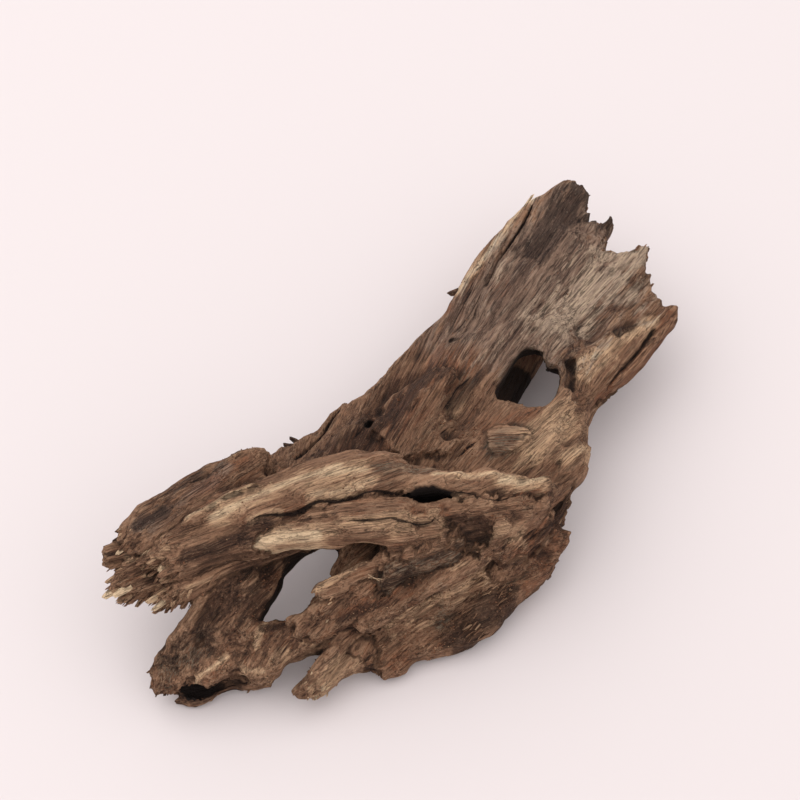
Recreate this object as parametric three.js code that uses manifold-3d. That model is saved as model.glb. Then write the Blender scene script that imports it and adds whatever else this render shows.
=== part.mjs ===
// Aquarium driftwood: one grown piece of weathered root wood, lying on a surface.
// Millimetres, +Z up. X runs along the piece, from its split foot (-X) to its broken blade (+X).
// The wood is built from leaves of grain, the blade, the log, the slab and their splinters. Each has
// an outline in plan, levels along its edge and its crest, and relief that follows its grain.
// The leaves flow together in one field, and the surface of that field is the solid.
import * as THREE from 'three';
import Module from 'manifold-3d';
import { mergeVertices } from 'three/addons/utils/BufferGeometryUtils.js';

const WOOD = { color: 0x6f5541, roughness: 0.92, metalness: 0 };

// The sampling cell is long along the grain and short across it.
const CELL = new THREE.Vector3(3.7, 2.5, 2.4);
const LOW = new THREE.Vector3(-104, -52, -12);
const HIGH = new THREE.Vector3(106, 52, 54);

const JOIN = 2.2; // radius in which two leaves flow into each other
const ROOT_JOIN = 6; // radius in which a root flows into the wood above it
const UNDERSIDE = 1.5; // leaves stay this far above the surface, and only the feet reach it
const FLOOR_DEPTH = 20; // thickness of the block that trims the feet flat
const TOOTH = { length: 30, width: 4.6 }; // splinters at an end that breaks across the grain
const RIDGE = { length: 42, width: 8.5, height: 1.1 }; // broad relief along the grain
const FURROW = { length: 22, width: 4.6, height: 0.5 }; // finer relief along the grain
const SEED_STEP = 10; // each leaf's relief starts from its own seed
const ROOT_SEED = 300; // the roots' own relief
const DENT_EDGE = [0.35, 1.25]; // share of a dent's half width where its side begins and ends
const SEAL = 2; // field value given to what is filled or dropped
const TOUCH = 0.3; // field value given to a sample that is filled to part two touching edges
const TOUCH_ROUNDS = 40;
const SAME_POINT = 1e-4;

// One leaf of wood. outline is its edge in plan with the height of the edge's middle. crest holds
// points of its top, and hole is the rim of a hole through it. round is how far the rim drops, over the width rim. thick is its thickness
// inside, wall the least thickness at the rim, teeth the length of splinters at broken ends.
const LEAVES = [
  {
    name: 'blade', grain: 10, thick: 9, round: 2, rim: 5, wall: 3, teeth: 2.6,
    outline: [
      [89, 39, 27], [94, 35, 27], [93, 31, 26], [87, 27, 25], [85, 24, 24], [93, 24, 21],
      [92, 21, 20], [87, 19, 21], [83, 15, 22], [84, 12, 23], [88, 10, 24], [92, 8, 24],
      [92, 6, 24], [85, 1, 24], [79, -6, 23], [79, -8, 20], [84, -10, 18], [83, -12, 17],
      [75, -14, 18], [66, -16, 19], [60, -17, 19], [49, -18, 20], [44, -17, 21], [39, -18, 22],
      [32, -21, 23], [29, -25, 24], [27, -28, 23], [24, -31, 22], [18, -32, 22], [7, -31, 25],
      [-3, -25, 27], [-12, -16, 28], [-20, -6, 28], [-28, 7, 28], [-35, 19, 27], [-35, 27, 26],
      [-30, 29, 25], [-25, 27, 24], [-14, 29, 22], [-5, 30, 21], [1, 27, 21], [10, 28, 21],
      [17, 30, 21], [26, 32, 21], [34, 32, 21], [42, 34, 22], [48, 36, 22], [56, 39, 23],
      [63, 40, 24], [71, 40, 25], [78, 41, 26], [80, 39, 26],
    ],
    crest: [
      [9, 8, 31], [45, 20, 30], [73, 23, 29], [61, -3, 27], [19, -20, 30], [0, -4, 33],
      [-14, 14, 30], [73, 5, 27], [28, 12, 31], [55, 22, 30],
    ],
    hole: [
      [40, 2, 32], [39, -1, 32], [37, -4, 32], [39, -6, 31], [38, -8, 31], [36, -10, 30], [31, -12, 30],
      [28, -12, 30], [25, -9, 30], [24, -6, 30], [21, -3, 31], [22, 0, 31], [26, 1, 32], [33, 3, 32],
      [37, 4, 32],
    ],
  },
  {
    name: 'log ridge', grain: -22, thick: 19, round: 5, rim: 8, wall: 4, teeth: 3,
    outline: [
      [-77, 26, 29], [-71, 26, 32], [-63, 25, 34], [-53, 23, 35], [-43, 20, 36], [-34, 15, 37],
      [-26, 9, 37], [-14, 2, 36], [-14, -1, 35], [-8, -9, 35], [-2, -16, 35], [6, -24, 35],
      [10, -28, 34], [11, -31, 33], [9, -34, 32], [6, -34, 31], [-4, -26, 31], [-15, -17, 32],
      [-22, -9, 33], [-34, -1, 33], [-46, 4, 32], [-55, 8, 31], [-61, 13, 30], [-69, 14, 29],
      [-76, 16, 28], [-79, 19, 28],
    ],
    crest: [[-67, 17, 38], [-52, 11, 41], [-36, 3, 43], [-22, -8, 43], [-10, -21, 41], [2, -30, 38]],
  },
  {
    name: 'log top lobe', grain: -9, thick: 14, round: 4, rim: 6, wall: 4, teeth: 2,
    outline: [
      [-75, 38, 30], [-73, 38, 31], [-69, 39, 32], [-63, 37, 33], [-55, 36, 34], [-48, 34, 35],
      [-40, 30, 36], [-36, 27, 36], [-34, 22, 35], [-39, 19, 34], [-46, 18, 33], [-55, 19, 32],
      [-66, 21, 31], [-75, 24, 29], [-79, 30, 29], [-77, 36, 29],
    ],
    crest: [[-69, 30, 36], [-56, 28, 38], [-44, 25, 39]],
  },
  {
    name: 'spear', grain: -36, thick: 10, round: 3.5, rim: 6, wall: 2.4, teeth: 0.6,
    outline: [
      [-57, 8, 33], [-55, 7, 34], [-48, 5, 35], [-35, -1, 36], [-21, -9, 36], [-16, -16, 36],
      [-8, -23, 35], [-1, -29, 34], [5, -34, 32], [5, -35, 30], [1, -35, 29], [-5, -34, 28],
      [-12, -32, 28], [-16, -30, 27], [-20, -26, 28], [-22, -22, 29], [-19, -21, 30],
      [-23, -19, 30], [-30, -16, 31], [-42, -6, 32], [-49, 0, 32], [-54, 4, 32],
    ],
    crest: [[-49, 0, 37], [-39, -7, 39], [-28, -14, 39], [-20, -20, 38], [-9, -30, 35], [-1, -33, 34]],
  },
  {
    name: 'log under lobe', grain: -18, thick: 10, round: 3, rim: 6, wall: 3, teeth: 2.6,
    outline: [
      [-76, 12, 25], [-82, 16, 24], [-84, 23, 24], [-85, 27, 25], [-86, 29, 26], [-82, 31, 28],
      [-78, 33, 29], [-74, 29, 29], [-64, 21, 29], [-51, 13, 29], [-40, 6, 29], [-39, 0, 27],
      [-47, 3, 26], [-55, 8, 25], [-63, 10, 25], [-69, 11, 25],
    ],
    crest: [[-80, 22, 28], [-70, 14, 29], [-57, 10, 30]],
  },
  {
    name: 'end chip', grain: -30, thick: 4, round: 1, rim: 2, wall: 2.6, teeth: 0,
    outline: [
      [-83, 37, 29], [-81, 36, 29], [-77, 35, 29], [-70, 32, 29], [-74, 27, 29], [-82, 31, 28],
      [-86, 33, 28], [-85, 35, 28],
    ],
    crest: [],
  },
  {
    name: 'slab', grain: -18, thick: 10, round: 3, rim: 7, wall: 3, teeth: 2,
    outline: [
      [18, -31, 21], [16, -33, 19], [13, -33, 17], [11, -34, 16], [9, -34, 15], [9, -37, 14],
      [8, -38, 13], [5, -39, 12], [-1, -40, 10], [-8, -39, 9], [-14, -40, 8], [-20, -41, 7],
      [-28, -38, 6], [-34, -35, 5], [-40, -31, 5], [-44, -31, 4], [-47, -29, 3], [-47, -27, 4],
      [-47, -25, 6], [-53, -24, 7], [-60, -24, 8], [-64, -24, 8], [-67, -22, 8], [-69, -18, 8],
      [-66, -18, 9], [-63, -18, 10], [-60, -17, 11], [-57, -17, 13], [-61, -15, 13], [-67, -12, 13],
      [-70, -13, 12], [-74, -11, 11], [-76, -9, 11], [-77, -7, 11], [-77, -5, 11], [-79, -4, 11],
      [-82, -3, 10], [-84, -2, 10], [-85, 0, 10], [-85, 2, 10], [-88, 2, 9], [-90, 3, 8],
      [-93, 5, 7], [-94, 9, 7], [-94, 10, 8], [-92, 12, 10], [-88, 12, 13], [-83, 12, 16],
      [-80, 12, 18], [-77, 13, 19], [-74, 14, 21], [-65, 15, 23], [-54, 14, 24], [-40, 10, 25],
      [-20, -6, 26], [1, -21, 24], [13, -28, 22],
    ],
    crest: [
      [-21, -25, 23], [-36, -22, 17], [-52, -13, 17], [-68, 0, 20], [-81, 4, 14], [-20, -35, 14],
      [-3, -37, 16], [-55, -22, 11], [-61, 6, 24], [-75, 7, 20],
    ],
    hole: [
      [-63, -2, 19], [-60, -1, 20], [-56, -1, 21], [-52, 1, 21], [-50, 2, 22], [-45, 2, 23],
      [-41, 0, 24], [-40, -2, 24], [-42, -3, 22], [-47, -6, 20], [-51, -5, 19], [-54, -6, 18],
      [-59, -5, 18],
    ],
  },
  {
    name: 'ledge', grain: -20, thick: 5, round: 1.2, rim: 3, wall: 1.6, teeth: 1.6,
    outline: [
      [-61, -6, 19], [-61, -13, 17], [-59, -15, 17], [-55, -16, 17], [-52, -17, 18], [-49, -18, 18],
      [-49, -20, 18], [-47, -22, 17], [-44, -23, 18], [-40, -24, 19], [-35, -26, 20], [-28, -28, 21],
      [-17, -31, 21], [1, -36, 18], [7, -32, 20], [-13, -28, 24], [-30, -16, 24], [-43, -11, 22],
      [-52, -10, 21],
    ],
    crest: [[-35, -21, 21]],
  },
  {
    name: 'splinter', grain: -20, thick: 4, round: 0.8, rim: 2, wall: 2.4, teeth: 0,
    outline: [
      [-51, -6, 23], [-50, -7, 24], [-47, -8, 24], [-43, -10, 25], [-39, -11, 26], [-35, -14, 27],
      [-29, -17, 28], [-22, -22, 28], [-21, -24, 27], [-27, -20, 26], [-32, -16, 25], [-36, -14, 24],
      [-40, -14, 23], [-43, -13, 23], [-49, -12, 22], [-52, -10, 22], [-52, -8, 23],
    ],
    crest: [],
  },
  {
    name: 'grey chip', grain: -20, thick: 4, round: 0.8, rim: 2, wall: 2.4, teeth: 0,
    outline: [
      [-37, -17, 23], [-35, -16, 24], [-32, -15, 25], [-29, -18, 26], [-22, -21, 27], [-18, -26, 27],
      [-21, -27, 25], [-28, -23, 24], [-32, -20, 23], [-37, -19, 22],
    ],
    crest: [],
  },
  {
    name: 'collar', grain: -5, thick: 9, round: 2, rim: 4, wall: 3, teeth: 1,
    outline: [
      [18, -32, 22], [15, -33, 20], [13, -34, 18], [9, -35, 16], [0, -36, 19], [-10, -34, 22],
      [-16, -30, 25], [-10, -31, 27], [3, -33, 28],
    ],
    crest: [[3, -35, 24]],
  },
  {
    name: 'curled lip', grain: -30, thick: 3.4, round: 0.8, rim: 2.5, wall: 2.4, teeth: 1,
    outline: [
      [-88, 4, 5], [-89, 3, 4], [-90, 2, 2.5], [-89, 0, 2], [-87, -1, 2], [-85, -3, 2], [-82, -4, 3],
      [-79, -5, 4], [-77, -7, 4], [-74, -9, 4], [-72, -11, 5], [-69, -11, 7], [-70, -6, 8],
      [-74, -1, 8], [-80, 4, 7],
    ],
    crest: [],
  },
];

// Round roots under the leaves, as chains of [x, y, z, radius].
const ROOTS = [
  [[-12, 2, 20, 7], [8, 3, 17, 8], [28, 8, 14, 7.5], [46, 15.5, 9, 8.5], [60, 24, 7, 8]], // keel
  [[54, 23, 5, 6], [62, 26, 3, 7], [70, 29, 4, 5]], // the keel's foot
  [[28, 12, 18, 6], [47, 21, 16, 7], [66, 28, 19, 7], [82, 33, 22, 4]], // the keel's upper arm
  [[32, -18, 17, 3], [45, -11, 15, 4], [62, -9, 14, 5], [77, -6, 15, 3]], // rib under the near rim
  [[2, -26, 18, 7], [-6, -20, 21, 8], [-20, -4, 22, 7.5], [-34, 9, 23, 5.5], [-56, 15, 22, 5]], // core
  [[-52, 25, 26, 4], [-64, 25, 26, 4]], // under the log's broken end
  [[-6, -28, 12, 8], [-16, -30, 5, 4], [-2, -34, 4, 5]], // foot under the slab
  [[-50, -22, 8, 4], [-46, -27, 2, 3]], // foot at the slab's lower edge
  [[-78, 6, 10, 4], [-87, 1, 2, 3]], // foot at the split end
];

// Hollows inside the wood that open to its side, as chains like the roots.
const HOLLOWS = [
  [[-88, -1, 6.5, 2.6], [-82, -3, 6.5, 3.2], [-75, -7, 7, 2.6]], // under the leg's curled end
];

// Long dents in the top of the named leaves: two ends, half width, depth.
const DENTS = [
  { leaves: ['log ridge', 'spear'], from: [-22.4, -11.2], to: [-16.9, -17.6], radius: 2.6, depth: 11 },
  { leaves: ['spear', 'log ridge'], from: [-18.5, -25], to: [-12.8, -29.6], radius: 4.5, depth: 5 },
  { leaves: ['blade'], from: [36.5, -12], to: [41, -9.4], radius: 2.4, depth: 5 },
  { leaves: ['blade'], from: [43, 7], to: [20, 7.8], radius: 4, depth: 1.6 },
  { leaves: ['blade'], from: [20, 7.8], to: [3, -1], radius: 4, depth: 2 },
];

// A repeatable random number from 0 to 1 for a point of a square lattice.
function lattice(i, j, seed) {
  const n = Math.sin(i * 127.1 + j * 311.7 + seed * 74.7) * 43758.5453;
  return n - Math.floor(n);
}

// Smooth noise from -1 to 1.
function noise(x, y, seed) {
  const i = Math.floor(x);
  const j = Math.floor(y);
  const a = THREE.MathUtils.smoothstep(x - i, 0, 1);
  const b = THREE.MathUtils.smoothstep(y - j, 0, 1);
  const low = THREE.MathUtils.lerp(lattice(i, j, seed), lattice(i + 1, j, seed), a);
  const high = THREE.MathUtils.lerp(lattice(i, j + 1, seed), lattice(i + 1, j + 1, seed), a);
  return 2 * THREE.MathUtils.lerp(low, high, b) - 1;
}

// Distance from a point to the stretch between a and b in plan, and how far along it lies.
function toSegment(x, y, a, b) {
  const dx = b[0] - a[0];
  const dy = b[1] - a[1];
  const t = THREE.MathUtils.clamp(((x - a[0]) * dx + (y - a[1]) * dy) / (dx * dx + dy * dy), 0, 1);
  return { distance: Math.hypot(x - a[0] - t * dx, y - a[1] - t * dy), t };
}

// Signed distance to a closed outline in plan, negative inside.
function toOutline(outline, x, y) {
  let nearest = Infinity;
  let inside = false;
  outline.forEach((b, i) => {
    const a = outline[(i + outline.length - 1) % outline.length];
    nearest = Math.min(nearest, toSegment(x, y, a, b).distance);
    if (a[1] > y !== b[1] > y && x < a[0] + ((y - a[1]) / (b[1] - a[1])) * (b[0] - a[0])) inside = !inside;
  });
  return inside ? -nearest : nearest;
}

// The height of a leaf's top over a point, between its outline's and its crest's heights.
function topLevel(leaf, x, y) {
  let sum = 0;
  let weights = 0;
  const add = (point, height) => {
    const square = (x - point[0]) ** 2 + (y - point[1]) ** 2 + 1;
    sum += height / square ** 2;
    weights += 1 / square ** 2;
  };
  leaf.outline.forEach((point) => add(point, point[2] + leaf.round + leaf.wall / 2));
  leaf.crest.forEach((point) => add(point, point[2]));
  if (leaf.hole) leaf.hole.forEach((point) => add(point, point[2]));
  return sum / weights;
}

// How deep the dents of a leaf are at a point.
function dentDepth(leaf, x, y) {
  const depths = DENTS.filter((dent) => dent.leaves.includes(leaf.name)).map((dent) => {
    const away = toSegment(x, y, dent.from, dent.to).distance / dent.radius;
    return dent.depth * (1 - THREE.MathUtils.smoothstep(away, DENT_EDGE[0], DENT_EDGE[1]));
  });
  return Math.max(0, ...depths);
}

// Relief that runs along the grain.
function relief(along, across, seed) {
  return (
    RIDGE.height * noise(along / RIDGE.length, across / RIDGE.width, seed) +
    FURROW.height * noise(along / FURROW.length, across / FURROW.width, seed + 1)
  );
}

// A leaf's top, underside and distance from its edge over a point in plan.
function column(leaf, index, x, y) {
  const turn = THREE.MathUtils.degToRad(leaf.grain);
  const along = x * Math.cos(turn) + y * Math.sin(turn);
  const across = y * Math.cos(turn) - x * Math.sin(turn);
  const seed = SEED_STEP * index;
  const tooth = leaf.teeth * noise(along / TOOTH.length, across / TOOTH.width, seed + 2);
  let edge = toOutline(leaf.outline, x + tooth * Math.cos(turn), y + tooth * Math.sin(turn));
  if (leaf.hole) edge = Math.max(edge, -toOutline(leaf.hole, x, y));
  const inward = THREE.MathUtils.clamp(-edge / leaf.rim, 0, 1);
  const fallen = 1 - Math.sqrt(1 - (1 - inward) ** 2);
  const level = topLevel(leaf, x, y);
  const top = level - leaf.round * fallen + relief(along, across, seed) * inward;
  const rise = (leaf.thick - leaf.round - leaf.wall) * fallen;
  const under = level - leaf.thick + rise - relief(along, across, seed + 5);
  const lowest = UNDERSIDE + Math.abs(relief(along, across, seed + 6));
  return { edge, top: top - dentDepth(leaf, x, y), under: Math.max(under, lowest) };
}

// Distance to a chain of round roots.
function toRoot(chain, point) {
  let nearest = Infinity;
  for (let i = 1; i < chain.length; i += 1) {
    const a = chain[i - 1];
    const b = chain[i];
    const start = new THREE.Vector3(a[0], a[1], a[2]);
    const run = new THREE.Vector3(b[0], b[1], b[2]).sub(start);
    const t = THREE.MathUtils.clamp(point.clone().sub(start).dot(run) / run.lengthSq(), 0, 1);
    const radius = THREE.MathUtils.lerp(a[3], b[3], t);
    nearest = Math.min(nearest, start.addScaledVector(run, t).distanceTo(point) - radius);
  }
  return nearest;
}

// The smaller of two distances, rounded where they meet.
function flowTogether(a, b, radius) {
  const h = Math.max(radius - Math.abs(a - b), 0) / radius;
  return Math.min(a, b) - (h * h * radius) / 4;
}

// Samples of the field on a box of cells, negative inside the wood.
function sampleField() {
  const size = HIGH.clone().sub(LOW).divide(CELL).ceil();
  const [nx, ny, nz] = [size.x + 1, size.y + 1, size.z + 1];
  const values = new Float32Array(nx * ny * nz);
  const point = new THREE.Vector3();
  for (let i = 0; i < nx; i += 1) {
    for (let j = 0; j < ny; j += 1) {
      point.x = LOW.x + i * CELL.x;
      point.y = LOW.y + j * CELL.y;
      const columns = LEAVES.map((leaf, n) => column(leaf, n, point.x, point.y));
      const bark = relief(point.x, point.y, ROOT_SEED);
      for (let k = 0; k < nz; k += 1) {
        point.z = LOW.z + k * CELL.z;
        let value = Infinity;
        columns.forEach(({ edge, top, under }) => {
          const leaf = Math.max(edge, point.z - top, under - point.z);
          value = value === Infinity ? leaf : flowTogether(value, leaf, JOIN);
        });
        const root = Math.min(...ROOTS.map((chain) => toRoot(chain, point))) + bark;
        value = flowTogether(value, root, ROOT_JOIN);
        HOLLOWS.forEach((chain) => {
          value = Math.max(value, -toRoot(chain, point));
        });
        values[(i * ny + j) * nz + k] = value;
      }
    }
  }
  return { values, nx, ny, nz };
}

// Keeps the largest body and fills what it seals off, so that the surface is one closed skin.
function keepOneBody(grid) {
  const { values, nx, ny, nz } = grid;
  const steps = [ny * nz, -ny * nz, nz, -nz, 1, -1];
  const flood = (start, inside, seen) => {
    const found = [start];
    seen[start] = 1;
    for (let n = 0; n < found.length; n += 1) {
      const k = found[n] % nz;
      const j = Math.floor(found[n] / nz) % ny;
      const i = Math.floor(found[n] / (nz * ny));
      steps.forEach((step, side) => {
        const atWall = [i === nx - 1, i === 0, j === ny - 1, j === 0, k === nz - 1, k === 0][side];
        const next = found[n] + step;
        if (atWall || seen[next] || values[next] < 0 !== inside) return;
        seen[next] = 1;
        found.push(next);
      });
    }
    return found;
  };
  const seen = new Uint8Array(values.length);
  let bodies = [];
  values.forEach((value, n) => {
    if (value < 0 && !seen[n]) bodies.push(flood(n, true, seen));
  });
  bodies = bodies.sort((a, b) => b.length - a.length);
  bodies.slice(1).flat().forEach((n) => {
    values[n] = SEAL;
  });
  const open = new Uint8Array(values.length);
  flood(0, false, open);
  values.forEach((value, n) => {
    if (value >= 0 && !open[n]) values[n] = -SEAL;
  });
}

// Fills samples where two bodies would touch at an edge or a corner only.
function mendTouches({ values, nx, ny, nz }) {
  const at = (i, j, k) => (i * ny + j) * nz + k;
  let mended = true;
  const square = (a, b, c, d) => {
    const [ia, ib, ic, id] = [a, b, c, d].map((n) => values[n] < 0);
    if (ia !== id || ib !== ic || ia === ib) return;
    values[ia ? b : a] = -TOUCH;
    mended = true;
  };
  const cube = (corners) => {
    const inside = corners.filter((n) => values[n] < 0).length;
    for (let n = 0; n < 4; n += 1) {
      const pair = [values[corners[n]] < 0, values[corners[7 - n]] < 0];
      if (pair[0] !== pair[1]) continue;
      if (!((inside === 2 && pair[0]) || (inside === 6 && !pair[0]))) continue;
      const spare = inside === 2 ? corners[n ^ 1] : corners[n];
      values[spare] = -TOUCH;
      if (inside === 2) values[corners[(n ^ 1) ^ 2]] = -TOUCH;
      mended = true;
    }
  };
  for (let round = 0; mended && round < TOUCH_ROUNDS; round += 1) {
    mended = false;
    for (let i = 0; i + 1 < nx; i += 1) {
      for (let j = 0; j + 1 < ny; j += 1) {
        for (let k = 0; k + 1 < nz; k += 1) {
          square(at(i, j, k), at(i + 1, j, k), at(i, j + 1, k), at(i + 1, j + 1, k));
          square(at(i, j, k), at(i + 1, j, k), at(i, j, k + 1), at(i + 1, j, k + 1));
          square(at(i, j, k), at(i, j + 1, k), at(i, j, k + 1), at(i, j + 1, k + 1));
          cube([0, 1, 2, 3, 4, 5, 6, 7].map((c) => at(i + (c & 1), j + ((c >> 1) & 1), k + (c >> 2))));
        }
      }
    }
  }
}

// One point in each cell that the surface crosses, joined into squares across its edges.
function skin({ values, nx, ny, nz }) {
  const at = (i, j, k) => (i * ny + j) * nz + k;
  const corner = (c) => [c & 1, (c >> 1) & 1, c >> 2];
  const edges = [];
  for (let c = 0; c < 8; c += 1) [1, 2, 4].forEach((bit) => (c & bit ? 0 : edges.push([c, c | bit])));
  const pointOf = new Map();
  const positions = [];
  const cellPoint = (i, j, k) => {
    const key = at(i, j, k);
    if (pointOf.has(key)) return pointOf.get(key);
    const sum = new THREE.Vector3();
    let count = 0;
    edges.forEach(([a, b]) => {
      const [ax, ay, az] = corner(a);
      const [bx, by, bz] = corner(b);
      const va = values[at(i + ax, j + ay, k + az)];
      const vb = values[at(i + bx, j + by, k + bz)];
      if (va < 0 === vb < 0) return;
      const t = va / (va - vb);
      sum.add(new THREE.Vector3(ax + t * (bx - ax), ay + t * (by - ay), az + t * (bz - az)));
      count += 1;
    });
    const place = sum.divideScalar(count).add(new THREE.Vector3(i, j, k)).multiply(CELL).add(LOW);
    pointOf.set(key, positions.length / 3);
    positions.push(place.x, place.y, place.z);
    return pointOf.get(key);
  };
  const index = [];
  const square = (inside, cells) => {
    const [a, b, c, d] = cells.map((cell) => cellPoint(...cell));
    if (inside) index.push(a, b, c, a, c, d);
    else index.push(a, c, b, a, d, c);
  };
  for (let i = 1; i + 1 < nx; i += 1) {
    for (let j = 1; j + 1 < ny; j += 1) {
      for (let k = 1; k + 1 < nz; k += 1) {
        const here = values[at(i, j, k)] < 0;
        if (here !== values[at(i + 1, j, k)] < 0)
          square(here, [[i, j - 1, k - 1], [i, j, k - 1], [i, j, k], [i, j - 1, k]]);
        if (here !== values[at(i, j + 1, k)] < 0)
          square(here, [[i - 1, j, k - 1], [i - 1, j, k], [i, j, k], [i, j, k - 1]]);
        if (here !== values[at(i, j, k + 1)] < 0)
          square(here, [[i - 1, j - 1, k], [i, j - 1, k], [i, j, k], [i - 1, j, k]]);
      }
    }
  }
  const geometry = new THREE.BufferGeometry();
  geometry.setAttribute('position', new THREE.Float32BufferAttribute(positions, 3));
  geometry.setIndex(index);
  return geometry;
}

const wasm = await Module();
wasm.setup();

function toSolid(geometry) {
  const bare = geometry.clone();
  bare.deleteAttribute('normal');
  bare.deleteAttribute('uv');
  const merged = mergeVertices(bare, SAME_POINT);
  return new wasm.Manifold(
    new wasm.Mesh({
      numProp: 3,
      vertProperties: merged.attributes.position.array,
      triVerts: new Uint32Array(merged.index.array),
    }),
  );
}

function toGeometry(solid) {
  const mesh = solid.getMesh();
  const geometry = new THREE.BufferGeometry();
  geometry.setAttribute('position', new THREE.Float32BufferAttribute(mesh.vertProperties, 3));
  geometry.setIndex(new THREE.BufferAttribute(mesh.triVerts, 1));
  return geometry;
}

// Everything below the surface that the piece lies on is cut away, which leaves a flat on each foot.
function trimFeet(geometry) {
  const side = 2 * (HIGH.x - LOW.x);
  const block = new THREE.BoxGeometry(side, side, FLOOR_DEPTH).translate(0, 0, -FLOOR_DEPTH / 2);
  return toGeometry(toSolid(geometry).subtract(toSolid(block)));
}

// Puts the origin under the middle of the piece, on the surface it lies on.
function centre(geometry) {
  geometry.computeBoundingBox();
  const middle = geometry.boundingBox.getCenter(new THREE.Vector3());
  return geometry.translate(-middle.x, -middle.y, 0);
}

function driftwood() {
  const grid = sampleField();
  keepOneBody(grid);
  mendTouches(grid);
  keepOneBody(grid);
  const geometry = centre(trimFeet(skin(grid)));
  geometry.computeVertexNormals();
  const mesh = new THREE.Mesh(geometry, new THREE.MeshStandardMaterial(WOOD));
  mesh.name = 'driftwood';
  return mesh;
}

const piece = new THREE.Group();
piece.add(driftwood());

export default piece;
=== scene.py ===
# Aquarium driftwood: the finished look of the wood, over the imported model.
# Lengths are in millimetres in the frame in which the leaves of wood are drawn, and they turn into
# metres in the model's frame when a mesh is made.
import itertools
import math
import bpy
import numpy as np
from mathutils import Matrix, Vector


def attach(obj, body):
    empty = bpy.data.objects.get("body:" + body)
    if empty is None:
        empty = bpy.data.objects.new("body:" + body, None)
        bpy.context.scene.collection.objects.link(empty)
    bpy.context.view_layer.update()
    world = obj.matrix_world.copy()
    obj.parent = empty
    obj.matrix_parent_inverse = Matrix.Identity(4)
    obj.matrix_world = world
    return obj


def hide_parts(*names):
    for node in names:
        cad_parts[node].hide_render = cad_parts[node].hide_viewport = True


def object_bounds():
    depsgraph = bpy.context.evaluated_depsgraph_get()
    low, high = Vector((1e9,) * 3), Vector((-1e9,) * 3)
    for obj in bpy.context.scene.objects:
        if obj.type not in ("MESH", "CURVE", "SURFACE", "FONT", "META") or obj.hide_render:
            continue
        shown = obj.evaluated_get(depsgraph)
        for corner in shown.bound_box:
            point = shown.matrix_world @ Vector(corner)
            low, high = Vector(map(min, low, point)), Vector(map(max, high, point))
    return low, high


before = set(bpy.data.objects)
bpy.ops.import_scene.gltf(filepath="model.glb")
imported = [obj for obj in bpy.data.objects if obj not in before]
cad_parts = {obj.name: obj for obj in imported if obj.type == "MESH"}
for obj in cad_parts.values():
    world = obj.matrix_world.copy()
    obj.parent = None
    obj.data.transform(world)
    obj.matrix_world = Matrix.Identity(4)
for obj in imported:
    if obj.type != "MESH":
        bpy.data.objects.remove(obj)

cad_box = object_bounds()

# The model's origin, in the frame of the leaves: the middle of the piece in plan, on the floor.
MIDDLE = np.array([0.7227, 0.1219, 0.0])
METRES = 0.001

# The sampling cell is long along the grain and short across it.
CELL = np.array([1.15, 0.54, 0.56])
LOW = np.array([-99.0, -45.0, -1.62])
HIGH = np.array([99.0, 45.0, 47.0])

JOIN = 1.3  # radius in which two leaves flow into each other
ROOT_JOIN = 6.0  # radius in which a root flows into the wood above it
UNDERSIDE = 1.5  # leaves stay this far above the floor, and only the feet reach it
SPLIT_REACH = 2.2  # a split is drawn within this distance of its line
HOLLOW_SHADE_LENGTH = 8.5  # a hollow is painted nearly black, as shade, over this length from its first end
CREVICE_SHADE_REACH = 3.0  # a crevice, which gets painted shade, is looked for within this distance
CREVICE_SHADE = (0.30, 0.4)  # share of wood round a point where the painted crevice shade begins, and how fast it darkens
STEEP = 0.35  # upward part of the normal, below which a face is steep
ROOT_SHADE = 0.3  # how dark the painted shade on the steep faces of the roots is
STILL = (0.2, 1.2)  # height at which the fine relief begins, and over which it grows
DENT_SLOPE = (0.35, 0.9)  # where a dent's side begins and how wide it is, in radii
PATCH_EDGE = 1.2  # where a patch of colour ends, in half widths
PATCH_FADE = 1.1  # how much a weak patch loses
HOLLOW_ROUNDS = 6  # how often the skin is smoothed to find its grooves and ridges
MEND_TURNS = 30
JUST_INSIDE = -0.1
LATTICE = (127.1, 311.7, 191.3)  # spread the noise's random numbers along each axis
SEED_STEP = 10
ROOT_SEED = 300
RIDGE = (42.0, 8.5, 1.1)  # length, width and height of the broad relief along the grain
FURROW = (22.0, 4.6, 0.5)
PLATE_EDGE = ((0.7, 2.3, 61), (0.4, 0.9, 62))  # height, size and seed of a plate's ragged edge
SWAY = 1.5  # how far the fibres sway sideways
SWAY_SIZE = (38, 13, 71)  # length, width and seed of the sway
LEAF_STEP = 40  # keeps the noise of one leaf apart from the next
TOOTH_LENGTH = 30.0
TOOTH_SIZES = ((4.6, 1.0), (1.7, 0.55), (0.8, 0.3))  # width of a tooth, share of its length

# Heights and depths of the fine relief.
SHELL_HEIGHT = 0.85
PLATE_HEIGHT = 0.25
LUMP_HEIGHT = 0.08
GROOVE_DEPTH = 0.4
PORE_DEPTH = 0.18
FRAY = (0.45, 0.35)  # how much a face looks along the grain where it begins to break, and over
FRAY_LENGTHS = (0.9, 0.8)  # of the teeth and of the hairs on it

# Noise of the fibres: length along the grain, width across it, and seed.
FIBRES = dict(
    shells=(46, 5.5, 19), chips=(12, 2.2, 20), plates=(40, 3, 11), cords=(30, 1.7, 12),
    threads=(18, 1.1, 13), regions=(34, 14, 14), grooves=(90, 2.4, 15), stretches=(26, 8, 16),
    pores=(5.5, 0.95, 17), lumps=(2.4, 2, 18), teeth=(40, 2.1, 21), hairs=(40, 1, 22),
)
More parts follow.
